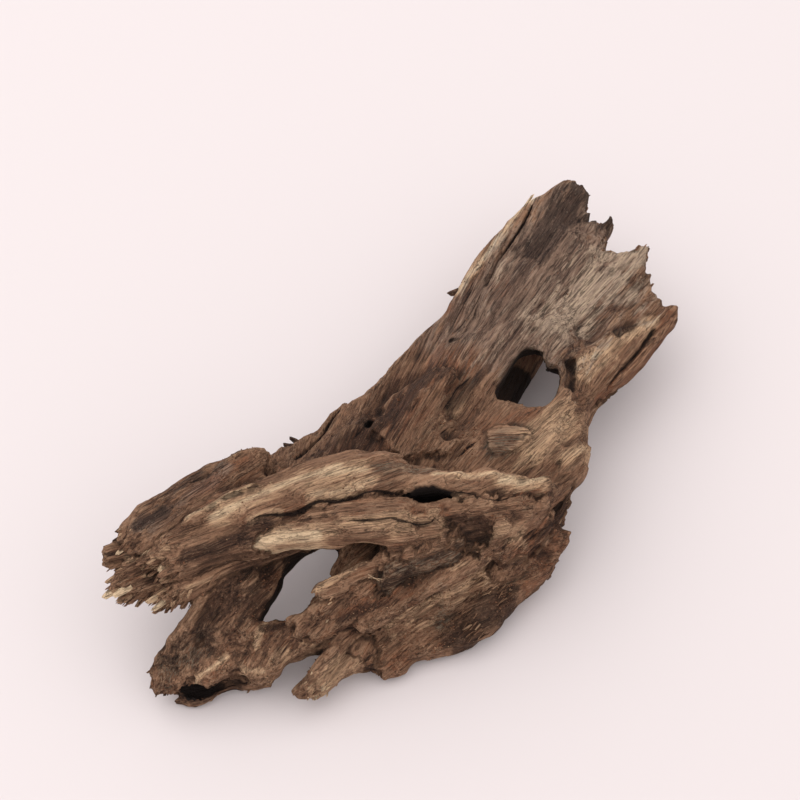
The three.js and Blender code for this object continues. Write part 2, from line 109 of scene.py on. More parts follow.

# One leaf of wood. outline is its edge in plan with the height of the edge's middle. crest holds
# points of its top. hole is the rim of a hole through it, whose wall is painted nearly black, as
# shade, as far as dark_wall from the rim. round is how far the edge drops, over the width rim.
# thick is its thickness inside, wall the least thickness at the edge, teeth the length of
# splinters at broken ends, and coarse how strong the fibres stand out. The fine fibres run along
# the grain, or the way that fibres says, or fan out from the point fan, or bend round the point
# bend.
LEAVES = [
    dict(
        name="blade", grain=12, fan=(-108, -26), dark_wall=4, thick=9, round=1.6, rim=4, wall=3,
        teeth=2.6, coarse=0.8,
        outline=[
            (87.5, 37.2, 27), (92.2, 33.2, 27), (91.8, 29.8, 26), (86.6, 26.4, 25), (84.6, 23.6, 24),
            (91.6, 22.4, 21), (90.6, 19.8, 20), (86.4, 18.4, 21), (82.6, 14.8, 22), (83.6, 12, 23),
            (88, 10, 24), (92, 8, 24), (92, 6, 24), (85, 1, 24), (79, -6, 23), (78, -7.6, 20),
            (82.3, -11, 18), (81.4, -13, 17), (75, -14, 18), (66, -16, 19), (60, -17, 19), (49, -18, 20),
            (44, -17, 21), (39, -18, 22), (32, -21, 23), (29, -25, 24), (27, -28, 23), (24, -31, 22),
            (18, -32, 22), (7, -31, 25), (-3, -25, 27), (-12, -16, 28), (-20, -6, 28), (-28, 7, 28),
            (-35, 19, 27), (-35, 27, 26), (-30, 29, 25), (-25, 27, 24), (-14, 29, 22), (-5, 30, 21),
            (1, 27, 21), (10, 28, 21), (17, 30, 21), (26, 32, 21), (34, 32, 21), (42, 34, 22),
            (48, 36, 22), (56.4, 38.4, 23), (63, 39.2, 24), (70.4, 39.2, 25), (77.2, 39.4, 26),
            (79, 37.6, 26),
        ],
        crest=[
            (9, 8, 31), (45, 20, 30), (73, 23, 29), (61, -3, 27), (19, -20, 30), (0, -4, 33),
            (-14, 14, 30), (73, 5, 27), (28, 12, 31), (55, 22, 30),
        ],
        hole=[
            (40, 2, 32), (39, -1, 32), (37, -4, 32), (39, -6, 31), (38, -8, 31), (36, -10, 30),
            (31, -12, 30), (28, -12, 30), (25, -9, 30), (24, -6, 30), (21, -3, 31), (22, 0, 31),
            (26, 1, 32), (33, 3, 32), (37, 4, 32),
        ],
    ),
    dict(
        name="log ridge", grain=-22, thick=19, round=5, rim=8, wall=4, teeth=3.4, coarse=0.6,
        outline=[
            (-77, 26, 29), (-71, 26, 32), (-63, 24.6, 34), (-53, 22.4, 35), (-44, 18.8, 36),
            (-34.6, 15.1, 37), (-30, 13.1, 37), (-24, 9.1, 37), (-19.3, 3.7, 36), (-15.6, -2.8, 36),
            (-12, -9.2, 35), (-9, -14.5, 35), (-2.3, -19.7, 35), (2.4, -23.8, 34), (6.1, -26.9, 34),
            (7.6, -30.1, 33), (6.4, -33.5, 32), (4, -33, 31), (-5, -28, 31), (-16.5, -19.4, 31),
            (-24, -12.6, 32), (-36, -3.4, 32), (-47, 2.4, 31), (-56, 7, 30), (-61, 11, 30), (-69, 14, 29),
            (-76, 16, 28), (-79, 19, 28),
        ],
        crest=[
            (-67, 17, 38), (-52, 12, 41), (-38, 7, 42), (-26, 0, 42), (-16, -9.5, 41), (-8, -19, 40),
            (2, -28.5, 38),
        ],
    ),
    dict(
        name="log top lobe", grain=-9, thick=14, round=4, rim=6, wall=4, teeth=2, coarse=0.45,
        outline=[
            (-76, 36.6, 30), (-74.3, 36.6, 31), (-70.3, 37.4, 32), (-64.3, 35.6, 33), (-56.3, 34.6, 34),
            (-49.3, 33, 35), (-42.5, 30, 36), (-39.5, 27.4, 36), (-38, 23.4, 35), (-40, 19, 34),
            (-46, 18, 33), (-55, 19, 32), (-66, 21, 31), (-75, 24, 29), (-79, 30, 29), (-77.6, 35, 29),
        ],
        crest=[
            (-69, 30, 36), (-56, 28, 38), (-44, 25, 39),
        ],
    ),
    dict(
        name="spear", grain=-36, thick=10, round=2.6, rim=4.5, wall=2.4, teeth=0.6, coarse=0.45,
        outline=[
            (-57, 8, 33), (-55, 8.6, 34), (-50, 7, 35), (-42, 3.9, 36), (-35, 0, 36.6),
            (-28.5, -4.4, 36.8), (-22.4, -9.8, 37), (-16, -16, 36), (-8, -23, 35), (-1, -29, 34),
            (5, -34, 32), (5, -35, 30), (1, -35, 29), (-5, -34, 28), (-12, -32, 28), (-16, -30, 27),
            (-20, -26, 28), (-22, -22, 29), (-19, -21, 30), (-23, -19, 30), (-30, -16, 31), (-42, -6, 32),
            (-49, 0, 32), (-54, 4, 32),
        ],
        crest=[
            (-49, 1, 37.6), (-39, -5, 39.8), (-28, -12, 40), (-20, -18, 39), (-9, -30, 35), (-1, -33, 34),
        ],
    ),
    dict(
        name="log under lobe", grain=-18, thick=10, round=3, rim=6, wall=3, teeth=3, coarse=0.35,
        outline=[
            (-75.2, 13, 25), (-80.6, 17.2, 24), (-82.8, 24, 24), (-84.4, 27.6, 25), (-85.4, 29.4, 26),
            (-82, 31, 28), (-78, 33, 29), (-74, 29, 29), (-64, 21, 29), (-51, 13, 29), (-40, 6, 29),
            (-39, 0, 27), (-47, 3, 26), (-55, 8, 25), (-63, 10, 25), (-69, 11, 25),
        ],
        crest=[
            (-80, 22, 28), (-70, 14, 29), (-57, 10, 30),
        ],
    ),
    dict(
        name="end chip", grain=-30, thick=4, round=1, rim=2, wall=2.6, teeth=0, coarse=1,
        outline=[
            (-83, 37, 29), (-81, 36, 29), (-77, 35, 29), (-70, 32, 29), (-74, 27, 29), (-82, 31, 28),
            (-86, 33, 28), (-85, 35, 28),
        ],
    ),
    dict(
        name="slab", grain=-18, bend=(-46, -120), dark_wall=1, thick=10, round=2.6, rim=6, wall=3,
        teeth=2, coarse=0.65,
        outline=[
            (18, -31, 21), (16, -33, 19), (13, -33, 17), (11, -34, 16), (9, -34, 15), (9, -37, 14),
            (8, -38, 13), (5, -39, 12), (-1, -40, 10), (-8, -39, 9), (-14, -40, 8), (-20, -41, 7),
            (-28, -38, 6), (-34, -35, 5), (-40, -31, 5), (-44, -31, 4), (-47, -29, 3), (-47, -27, 4),
            (-47, -25, 6), (-53, -23.4, 7), (-59.4, -23, 8), (-63.2, -23, 8), (-66.2, -21.2, 8),
            (-69, -18, 8), (-66, -18, 9), (-63, -18, 10), (-60, -17, 11), (-57, -17, 13), (-61, -15, 13),
            (-67, -12, 13), (-70, -13, 12), (-74, -11, 11), (-76, -9, 11), (-77, -7, 11), (-77, -5, 11),
            (-79, -4, 11), (-82, -3, 10), (-84, -2, 10), (-85, 0, 10), (-85, 2.4, 10), (-87.4, 3.6, 9),
            (-89, 5, 8), (-92, 7.4, 8), (-93.6, 9.4, 7), (-94, 10.6, 8), (-92, 12, 10), (-88, 12, 13),
            (-83, 12, 16), (-80, 12, 18), (-77, 13, 19), (-74, 14, 21), (-65, 15, 23), (-54, 14, 24),
            (-40, 10, 25), (-20, -6, 26), (1, -21, 24), (13, -28, 22),
        ],
        crest=[
            (-21, -25, 23), (-36, -22, 17), (-52, -13, 17), (-68, 0, 20), (-81, 4, 14), (-20, -35, 14),
            (-3, -37, 16), (-55, -22, 11), (-61, 6, 24), (-75, 7, 20),
        ],
        hole=[
            (-64.6, -1, 19), (-61.6, 0.4, 20), (-57.6, 1, 21), (-53.4, 3, 21), (-50, 5, 22),
            (-42.5, 4.8, 23), (-38.4, 2.6, 24), (-37.4, -1, 24), (-42, -3, 22), (-47, -6, 20),
            (-51, -5, 19), (-54, -6, 18), (-59, -5, 18),
        ],
    ),
    dict(
        name="ledge", grain=-20, fibres=2, thick=5, round=1, rim=2, wall=1.6, teeth=1.8, coarse=0.8,
        outline=[
            (-61, -6, 19), (-61, -13, 17), (-59, -15, 17), (-55, -16, 17), (-52, -17, 18), (-49, -18, 18),
            (-49, -20, 18), (-47, -22, 17), (-44, -23, 18), (-40, -24, 19), (-35, -26, 20),
            (-28, -28, 21), (-17, -31, 21), (1, -36, 18), (7, -32, 20), (-13, -28, 24), (-30, -16, 24),
            (-43, -11, 22), (-52, -10, 21),
        ],
        crest=[
            (-35, -21, 21),
        ],
    ),
    dict(
        name="splinter", grain=-20, thick=4, round=0.8, rim=2, wall=2.4, teeth=1, coarse=1,
        outline=[
            (-51, -6, 23), (-50, -7, 24), (-47, -8, 24), (-43, -10, 25), (-39, -11, 26), (-35, -14, 27),
            (-29, -17, 28), (-22, -22, 28), (-21, -24, 27), (-27, -20, 26), (-32, -16, 25),
            (-36, -14, 24), (-40, -14, 23), (-43, -13, 23), (-49, -12, 22), (-52, -10, 22), (-52, -8, 23),
        ],
    ),
    dict(
        name="grey chip", grain=-20, fibres=-12, thick=4, round=0.8, rim=2, wall=2.4, teeth=0, coarse=0.7,
        outline=[
            (-37, -17, 23), (-35, -16, 24), (-32, -15, 25), (-29, -18, 26), (-22, -21, 27),
            (-18, -26, 27), (-21, -27, 25), (-28, -23, 24), (-32, -20, 23), (-37, -19, 22),
        ],
    ),
    dict(
        name="collar", grain=-5, fibres=8, thick=9, round=2, rim=4, wall=3, teeth=1, coarse=1,
        outline=[
            (18, -32, 22), (15, -33, 20), (13, -34, 18), (9, -35, 16), (0, -36, 19), (-10, -34, 22),
            (-16, -30, 25), (-10, -31, 27), (3, -33, 28),
        ],
        crest=[
            (3, -35, 24),
        ],
    ),
    dict(
        name="curled lip", grain=-30, thick=3.4, round=0.8, rim=2.5, wall=2.4, teeth=1, coarse=0.8,
        outline=[
            (-87, 5, 5), (-88, 4, 4), (-88.6, 3, 3), (-87.6, 1.2, 3), (-85.8, 0, 3), (-84, -1.8, 3),
            (-81.4, -3.2, 3), (-79, -4.4, 4), (-77, -6.6, 4), (-74, -9, 4), (-72, -11, 5), (-69, -11, 7),
            (-70, -6, 8), (-74, -1, 8), (-80, 4, 7),
        ],
    ),
]

# Round roots under the leaves, as chains of (x, y, z, radius).
ROOTS = [
    [(-12, 2, 20, 7), (8, 3, 17, 8), (28, 8, 14, 7.5), (46, 15.5, 9, 8.5), (60, 24, 7, 8)],
    [(54, 23, 5, 6), (62, 26, 3, 7), (70, 29, 4, 5)],
    [(28, 12, 18, 6), (47, 21, 16, 7), (66, 28, 19, 7), (82, 33, 22, 4)],
    [(32, -18, 17, 3), (45, -11, 15, 4), (62, -9, 14, 5), (77, -6, 15, 3)],
    [(2, -26, 18, 7), (-6, -20, 21, 8), (-20, -4, 22, 7.5), (-34, 9, 23, 5.5), (-56, 15, 22, 5)],
    [(-28, 17, 22, 5), (-40, 22.5, 25, 4.5), (-52, 25, 26, 4), (-64, 25, 26, 4)],
    [(-6, -28, 12, 8), (-16, -30, 5, 4), (-2, -34, 4, 5)],
    [(-30, -14, 25.5, 3), (-25, -17.5, 26.4, 3.2), (-17.5, -22, 26.4, 3)],
    [(-42, -17, 14, 3.5), (-34, -12.5, 18, 3.5)],
    [(-50, -21, 7, 3.4), (-45.4, -25.8, 2, 2.6)],
    [(-78, 6, 10, 4), (-85.6, 2.4, 2, 2.6)],
]
ROOT_GRAIN = 20
ROOT_COARSE = 0.8
FAN_REACH = 165.0  # from a fan's point to the middle of its leaf
BEND_REACH = 110.0

# Hollows inside the wood that open to its side, as chains like the roots.
HOLLOWS = [
    [(-87.6, 2.6, 6.2, 1.7), (-84.4, 0.4, 6.4, 2.8), (-81, -2.2, 7, 2.2), (-76, -6.4, 8, 1.6)],
]

# Hollows with soft sides in the top of the named leaves: a line of points, half width, depth.
LOG = ("log ridge", "spear")
DENTS = [
    dict(leaves=("blade",), line=[(43, 7), (20, 7.8), (3, -1)], radius=4, depth=1.6),
    dict(leaves=("slab", "ledge"), line=[(-39, -18.3), (-36, -15.4)], radius=2.4, depth=2.2),
    dict(leaves=("blade",), line=[(27.8, 21.5), (28.4, 21.7)], radius=1.0, depth=1.6),
    dict(leaves=("blade",), line=[(43, -7.4), (41.4, -9.8), (38, -12)], radius=1.9, depth=3.2),
    dict(leaves=("blade",), line=[(61, -8), (69, -8)], radius=1.6, depth=1.4),
    dict(leaves=("blade",), line=[(48, 9), (52, 10.5)], radius=2.2, depth=0.9),
]

# Cuts straight down into the wood, as chains of (x, y, half width), and the height of their floor.
CUTS = [
    dict(floor=26, line=[
        (-23.2, -10.0, 0.2), (-20.2, -12.4, 1.3), (-16.9, -15.2, 1.5), (-13.2, -18.4, 0.3),
    ]),
    dict(floor=20, line=[(-9.4, 16.4, 0.7), (-6.6, 17.6, 1.0)]),
]

# Plates that stand above the top of the named leaves, or sink below it: the edge in plan, the
# height, the width of the step, and the way their fibres run where they have their own.
PLATES = [
    dict(leaves=("blade",), lift=2.1, step=0.7, outline=[
        (-10, 14.1), (1.4, 20.7), (7.8, 21.5), (11.5, 19.5), (15.5, 17.8), (18.6, 12.7), (17.9, 9.5),
        (12.1, 8.3), (6.9, 4.8), (7.3, 0.8), (3.5, -1), (0.1, -0.7), (3.2, -5.6), (-0.4, -6.9),
        (-6.4, -3.4), (-12.5, 2), (-11.9, 8.1),
    ]),
    dict(leaves=("blade",), lift=1.1, step=0.6, fibres=-40, outline=[
        (10.4, -7.7), (13.1, -8.1), (16.4, -12), (18.1, -15.8), (16, -17.8), (12.5, -17.4), (5.5, -15.8),
        (5.8, -12.3),
    ]),
    dict(leaves=("blade",), lift=1, step=0.5, outline=[
        (-0.3, 12.3), (1.5, 13), (6.8, 11.9), (6.6, 10.6), (0.5, 10.5),
    ]),
    dict(leaves=("blade",), lift=1.4, step=0.7, outline=[
        (14.7, -28.3), (19.8, -26.4), (25.9, -23.7), (27.6, -26.2), (26.5, -29), (20, -30.6),
    ]),
    dict(leaves=("log ridge", "log top lobe"), lift=1.5, step=0.6, outline=[
        (-67.6, 23.8), (-61.5, 25), (-57, 24.3), (-52, 22.3), (-48.6, 20), (-44.6, 14.6), (-49.2, 17.8),
        (-54.3, 19.6), (-59.2, 21), (-64.8, 21.2), (-68, 22.2),
    ]),
    dict(leaves=LOG, lift=-4.6, step=1.3, outline=[
        (-17.9, -20.4), (-12.8, -25.2), (-9.7, -29.3), (-11.4, -30.8), (-14.8, -31), (-19, -26.9),
        (-20.9, -23.4),
    ]),
    dict(leaves=("blade",), lift=-1, step=0.9, outline=[
        (90, 30), (86, 24), (92, 24), (92, 20), (86, 18.5), (80, 20), (82, 27),
    ]),
    dict(leaves=("blade",), lift=0.9, step=1, outline=[
        (42, -10), (50, -6.5), (60, -7.6), (72, -9.4), (76, -12), (66, -13.6), (54, -13.8), (45, -14.6),
    ]),
    dict(leaves=("log under lobe",), lift=-1.8, step=0.7, outline=[
        (-90, 20), (-88, 34), (-76, 36), (-73, 31), (-77, 27), (-75, 22), (-78, 17), (-77, 12),
    ]),
    dict(leaves=("slab",), lift=-1.3, step=0.6, outline=[
        (-58, -16), (-49, -18), (-45, -22.6), (-36, -26), (-31, -29.5), (-20, -33), (-13, -36),
        (-14, -42), (-40, -42), (-50, -26),
    ]),
]

# Thin splits on the named leaves: a line of points, half width, depth.
SPLITS = [
    dict(leaves=LOG, width=0.22, depth=0.8, line=[
        (-55.4, 11.5), (-47, 6.6), (-38.2, 1.7), (-29.8, -3.4), (-22.4, -9.8),
    ]),
    dict(leaves=LOG, width=0.15, depth=0.6, line=[
        (-13.5, -17.8), (-10.4, -21.2), (-8.2, -25.3), (-5.5, -26.9), (0.5, -30.2),
    ]),
    dict(leaves=LOG, width=0.13, depth=0.5, line=[
        (-38.8, -5.3), (-33.6, -9.6), (-28.4, -14.2), (-19.8, -19.8),
    ]),
    dict(leaves=("blade",), width=0.34, depth=1.6, line=[
        (77.4, 37.6), (70, 34.6), (63.9, 33.1), (55.4, 31.2), (46, 27.2),
    ]),
    dict(leaves=("blade",), width=0.32, depth=1.4, line=[
        (-31, 22.2), (-25.3, 23.4), (-18.2, 24.6), (-12.9, 27), (-7, 28.6),
    ]),
    dict(leaves=("blade",), width=0.2, depth=1.1, line=[
        (73.8, -12.3), (64.1, -14.6), (55.4, -15.8), (47.5, -17.4),
    ]),
    dict(leaves=("blade",), width=0.14, depth=0.5, line=[(-16, 16.2), (-10, 16.4)]),
    dict(leaves=("blade",), width=0.12, depth=0.4, line=[(5.9, 4.5), (16, 8.1), (21.9, 8.2)]),
    dict(leaves=("blade",), width=0.2, depth=0.6, line=[(0.1, -0.7), (5.9, -0.5)]),
    dict(leaves=("blade",), width=0.35, depth=1, line=[(-1.9, -8.4), (2.5, -8), (6, -8.6)]),
    dict(leaves=("blade",), width=0.12, depth=0.3, line=[(46, 27.2), (38, 24.6), (30, 23.6)]),
    dict(leaves=("blade",), width=0.12, depth=0.3, line=[(31.3, 25.5), (41.6, 29.4), (47, 31)]),
    dict(leaves=("log top lobe",), width=0.08, depth=0.2, line=[(-70, 35), (-58, 31.5), (-47, 27)]),
]

# Knots and holes that the fibres of a leaf run round: place and radius.
KNOTS = [
    dict(leaf="blade", at=(41.5, -12.5), radius=2.2),
    dict(leaf="blade", at=(-6, 18), radius=1.4),
]

KNOT_STRETCH = 1.8  # how much further the fibres give way along the grain than across it

# Patches of colour by colour and leaves: the two ends (x, y, x, y), half width and strength.
PATCHES = {
    "pale": {
        ("log ridge",): [
            (-66, 23, -49, 18, 1.3, 0.9), (-61, 19, -42, 11.5, 2.4, 0.95),
            (-42, 11.5, -30, 5.5, 2.4, 0.95), (-55, 11.6, -48, 8, 1.4, 0.7),
            (-36, 8.2, -26, 0.5, 2.6, 0.9), (-40, 4.8, -27, -3, 2.6, 0.8), (-14, -12, 6, -30, 1.5, 0.9),
        ],
        ("spear",): [
            (-57, 8, -50, 2.5, 2.6, 1), (-50, 2.5, -45, -2, 2.6, 1), (-45, -1, -33, -10, 2.2, 0.55),
            (-36, -8, -20, -20, 3.4, 0.5),
        ],
        ("log ridge", "collar"): [(-2, -24.5, 6, -30.5, 2.6, 1)],
        LOG: [(-15, -17, -8, -26, 1.6, 0.5)],
        ("spear", "collar"): [(-15.7, -28.3, -4, -34.8, 1.8, 0.55)],
        ("blade", "collar"): [(20, -26, 27, -28, 3.2, 0.75)],
        ("blade",): [
            (13.5, -20, 30, -18, 6.5, 0.72), (76.5, 38.5, 81, 38.5, 1.2, 1), (50, 27, 60, 30, 3.5, 0.2),
            (42, 33.5, 74, 39, 2.2, 0.85), (50, 6, 86, 6, 14, 0.6), (45, -9, 73, -10.8, 3, 0.75),
            (43, -11, 56, -12, 3.6, 0.6), (0, 2, 40, 12, 8, 0.1),
        ],
        ("splinter", "ledge"): [(-51, -8, -37, -11, 1.4, 0.7)],
        ("ledge", "slab"): [(-22.2, -27.6, -13.9, -31.1, 1.5, 0.6)],
        ("slab",): [
            (-40, -22, -6, -35, 6, 0.5), (-70.3, -5.1, -64.8, -2.6, 0.9, 0.8),
            (-86, 0.6, -77, -1.4, 0.8, 0.9), (-76.5, -6.4, -73, -10.7, 1.1, 0.8),
            (-70, -10, -60, -15, 3, 0.25), (-64, -23, -55, -24.5, 2.2, 0.7), (-66, -22, -50, -22, 5, 0.4),
        ],
        ("log top lobe",): [(-47, 29, -43, 28, 1.6, 0.55)],
        ("end chip", "log ridge", "log under lobe"): [(-80, 30, -72, 27, 3, 0.45)],
        ("log ridge", "log under lobe"): [(-79, 25, -74.5, 21.6, 2.4, 0.4)],
        ("log under lobe",): [(-75, 13.9, -63.5, 9.9, 1.6, 0.3)],
    },
    "red": {
        ("blade",): [
            (42, 32.5, 68, 37, 2.2, 0.7), (36, 31, 47, 34.5, 1.4, 1), (74, -12.5, 83, -11, 3, 0.9),
            (44, -18.4, 74, -15, 2.2, 0.8), (-20, 12, 2, 14, 9, 0.85), (2, 14, 22, 15, 9, 0.85),
            (12, -7, 24, -11, 5, 0.5),
        ],
        ("log ridge", "collar"): [(-3, -29.6, 7, -32, 3, 0.8)],
        LOG: [(-36, -7, -17.5, -19.4, 3.2, 0.55)],
        ("slab",): [
            (-56, 3, -54, 1, 3.5, 0.9), (-94, 7.7, -90, 5.6, 4, 0.8), (-47, -27, -45, -31, 3, 0.8),
        ],
        ("slab", "collar"): [(-3, -38, 6, -37, 7, 1)],
        ("slab", "ledge"): [(-50, -15, -34, -23, 5, 0.55)],
        ("log top lobe",): [(-60, 28, -44, 25, 3.5, 0.6)],
        ("log ridge",): [(-55, 12, -36, 2, 3, 0.5)],
    },
    "grey": {
        ("grey chip",): [(-37, -18, -20, -26, 4, 1)],
        ("log ridge",): [(-24, -1, -12, -11, 2, 0.9)],
        ("blade",): [(7, -13, 16.5, -15.3, 3.6, 1)],
        ("slab",): [(-90, 7.6, -80, 5, 5, 0.6)],
        ("slab", "ledge"): [(-30, -30.5, -28, -30, 2.6, 0.8)],
    },
    # The dark patches are partly the wood's own dark brown and partly painted shade, as marked below.
    "dark_and_shade": {
        ("blade",): [
            # The two at (43, -7.4) and (41.4, -9.8), the one at (10, 5.6) and the one at (61, -8) are
            # painted shade in the blade's dents.
            (43, -7.4, 41.4, -9.8, 1.5, 0.65), (41.4, -9.8, 38, -12, 1.5, 0.65),
            (-24, 14, 12, 16, 10, 0.72), (10, 5.6, 24, 6.7, 3, 0.5), (61, -8, 67, -8.5, 1.8, 0.8),
            (66, 26, 90, 31, 8, 0.68), (86, 24, 92, 22, 4, 0.7),
        ],
        ("slab", "collar"): [(-1, -38, 8, -36, 5, 0.45)],
        ("grey chip",): [(-37, -18, -20, -26, 4, 0.35)],
        ("slab",): [
            (-29, -35.4, -14, -39, 5, 0.8), (-87.6, 8.6, -82, 8, 3, 0.5), (-78, 6, -58, 7, 9, 0.5),
            # The one at (-66, -3.8) is a painted shadow under the edge of the slab's hole.
            (-10, -36, 2, -38, 3, 0.5), (-66, -3.8, -58, -8.6, 1.5, 0.8),
        ],
        ("log top lobe",): [(-74, 32, -66, 30, 4, 0.5), (-66, 32, -44, 29, 3.4, 0.35)],
        ("collar", "log ridge"): [(9, -34.6, 14, -33, 4, 0.8)],
        # These two are painted shade on the underside of the log's under lobe and on the ridge beside it.
        ("log under lobe",): [(-75, 20, -50, 9, 5, 0.68)],
        ("log ridge",): [(-72, 17, -53, 8.6, 3.2, 0.62)],
        ("slab", "ledge"): [(-52, -16, -38, -22, 3, 0.45)],
        # Painted shadow in the sunken pocket of the log, from the spear's end above.
        LOG: [(-18, -22.5, -13, -28.4, 3.6, 0.68)],
        ("curled lip",): [(-88, 3, -70, -8, 6, 0.55)],
    },
    "cool": {
        ("blade",): [(34, 20, 85, 26, 13, 1), (40, 8, 88, 12, 16, 1)],
        ("log top lobe",): [(-74, 31, -50, 28, 6, 0.5)],
    },
}

# Splinters that stick out of broken wood: the leaves they grow from, the middle of the place in
# plan and its radius, heights, the way they point in plan (degrees) and how steeply they rise,
# how many, lengths, widths, and how pale they are from 0 to 1.
TUFTS = [
    (("log ridge", "log under lobe", "end chip"), (-80, 25), 8, (20, 34), 170, -0.25, 75, (1.6, 4.4),
     (0.9, 2.4), 0.58),
    (("log ridge", "log under lobe"), (-80, 22), 8, (19, 32), 175, -0.3, 80, (1.5, 4), (0.35, 0.8), 0.3),
    (("log under lobe",), (-75, 13), 8, (18, 30), 195, -0.3, 60, (1, 2.8), (0.6, 1.6), 0.3),
    (("log top lobe",), (-77, 34), 5, (24, 36), 175, -0.1, 24, (1, 2.6), (0.4, 1.2), 0.15),
    (("log top lobe",), (-39, 26), 5, (28, 38), -10, 0, 24, (0.6, 1.8), (0.5, 1.2), 0.1),
    (("blade",), (89, 30), 9, (15, 34), 12, 0, 60, (0.4, 1.5), (0.6, 1.7), 0.1),
    (("blade",), (88, 6), 12, (15, 34), 12, 0, 80, (0.4, 1.5), (0.6, 1.7), 0.15),
    (("blade",), (-29, 26), 5, (15, 34), 140, 0.1, 16, (1.2, 3), (0.4, 1), 0),
    (("slab",), (-18, -37), 9, (6, 16), 182, 0.1, 90, (1.5, 4), (0.25, 0.6), 0.2),
    (("slab",), (-90, 6), 6, (2, 14), 200, -0.1, 36, (0.5, 1.6), (0.5, 1.3), 0.15),
    (("slab",), (-63, -21), 5, (3, 14), 195, 0, 26, (0.5, 1.8), (0.5, 1.2), 0.9),
    (("slab", "curled lip"), (-73, -10), 4, (3, 14), 200, 0.1, 20, (0.6, 1.8), (0.4, 1), 0.6),
    (("ledge", "splinter", "slab"), (-52, -10), 6, (12, 26), 190, 0, 24, (0.6, 2), (0.4, 1), 0.6),
    (("collar", "blade"), (14, -32), 8, (8, 30), 15, -0.2, 36, (0.6, 2.2), (0.4, 1.1), 0.25),
]

SPIKE_ROOT = 1.5  # length of a splinter inside the wood
SPIKE_SUNK = 0.3  # how far its foot lies below the surface besides
SPIKE_SPREAD = 0.16  # how much the directions in a tuft vary
SPIKE_TONES = 0.6  # how much their tones vary
SPIKE_FLATNESS = (0.35, 0.8)  # thickness as a share of the width
SPIKE_TWISTS = (-0.8, 0.8)
SPIKE_RINGS = ((0.0, 1.0), (0.55, 0.95), (0.9, 0.62))  # share of the length, size of the ring there
SPIKE_BEND = 0.15  # how far a splinter bows, as a share of its thickness
SPIKE_TWIST = 0.2
SPIKE_LOWEST = 0.2  # no splinter reaches below this height
SPIKE_STEP = 7.3  # keeps the grain of one splinter apart from the next

# Single long splinters: foot, tip, width, thickness and how pale they are from -1 to 1.
SPIKES = [
    ((47, 31.5, 23), (39.6, 34.6, 24), 2.6, 1.0, -1.0),
    ((-26, 25.5, 26), (-28.2, 28.8, 27.4), 1.7, 0.8, -1.0),
    ((-24, 26, 25.6), (-25.2, 29.6, 26.6), 1.5, 0.8, -1.0),
    ((72, 38, 27), (80.5, 40.2, 28.2), 1.2, 0.8, 1.0),
    ((-73, 34, 31), (-81, 36.4, 28), 1.6, 1.2, -1.0),
    ((-74, 30.5, 28), (-85.6, 33.4, 27.2), 4.6, 1.8, -0.2),
    ((-40, -14.5, 24.5), (-38.6, -18.5, 26.5), 0.3, 0.25, 0.9),
    ((-38.5, -17, 24), (-40.5, -14.8, 27), 0.3, 0.25, 0.9),
]

CRUMB_SIZES = (0.12, 0.30)
CRUMB_SHAPES = (0.6, 1.4)  # how far a corner lies from the middle, in sizes
CRUMB_TONES = (-1.2, 0.2)
LARGE_CRUMBS = (0.06, 1.6)  # the share of large crumbs, and how much larger they are
CRUMB_HEIGHTS = (3, 60)  # they lie on wood between these heights

# Loose crumbs of wood and bark: the leaves they lie on, the place in plan and its radius, how many.
CRUMBS = [
    (("slab", "ledge"), (-38, -24), 14, 420),
    (("slab",), (-60, -4), 16, 160),
    (("blade",), (1, -3), 9, 160),
    (("log top lobe",), (-46, 25), 6, 70),
    (("slab",), (-8, -33), 12, 160),
    (("blade", "log ridge", "log top lobe", "slab", "ledge", "spear"), (0, 0), 100, 120),
]


def lattice(cell, seed):
    """A random number from 0 to 1 for each point of a lattice, the same in each run."""
    n = np.sin(sum(place * wave for place, wave in zip(cell, LATTICE)) + seed * 74.7) * 43758.5453
    return n - np.floor(n)


def smooth(t):
    """A share from 0 to 1 with soft ends."""
    t = np.clip(t, 0, 1)
    return t * t * (3 - 2 * t)


def mix(a, b, t):
    """The value at a share of the way from a to b."""
    return a + (b - a) * t


def noise(*places, seed):
    """Smooth noise from -1 to 1, in the plane or in space."""
    starts = [np.floor(place) for place in places]
    values = []
    for corner in itertools.product((0, 1), repeat=len(places)):
        cell = [start + step for start, step in zip(starts, corner[::-1])]
        values.append(lattice(cell, seed))
    for place, start in zip(places, starts):
        share = smooth(place - start)
        values = [mix(low, high, share) for low, high in zip(values[::2], values[1::2])]
    return 2 * values[0] - 1


def to_line(x, y, line):
    """Distance in plan from points to an open line of points."""
    nearest = np.full(np.shape(x), np.inf)
    for a, b in zip(line, line[1:]):
        dx, dy = b[0] - a[0], b[1] - a[1]
        t = np.clip(((x - a[0]) * dx + (y - a[1]) * dy) / (dx * dx + dy * dy), 0, 1)
        nearest = np.minimum(nearest, np.hypot(x - a[0] - t * dx, y - a[1] - t * dy))
    return nearest


def to_outline(outline, x, y):
    """Signed distance in plan to a closed outline, negative inside."""
    nearest = to_line(x, y, [p[:2] for p in outline + outline[:1]])
    inside = np.zeros(np.shape(x), bool)
    for a, b in zip(outline[-1:] + outline, outline):
        if a[1] == b[1]:
            continue
        crosses = (a[1] > y) != (b[1] > y)
        inside ^= crosses & (x < a[0] + (y - a[1]) / (b[1] - a[1]) * (b[0] - a[0]))
    return np.where(inside, -nearest, nearest)


def relief(along, across, seed):
    """The broad relief along the grain."""
    total = 0
    for step, (length, width, height) in enumerate((RIDGE, FURROW)):
        total = total + height * noise(along / length, across / width, seed=seed + step)
    return total


def grain_axes(degrees):
    """The direction in plan of a turn from the x axis."""
    turn = math.radians(degrees)
    return math.cos(turn), math.sin(turn)


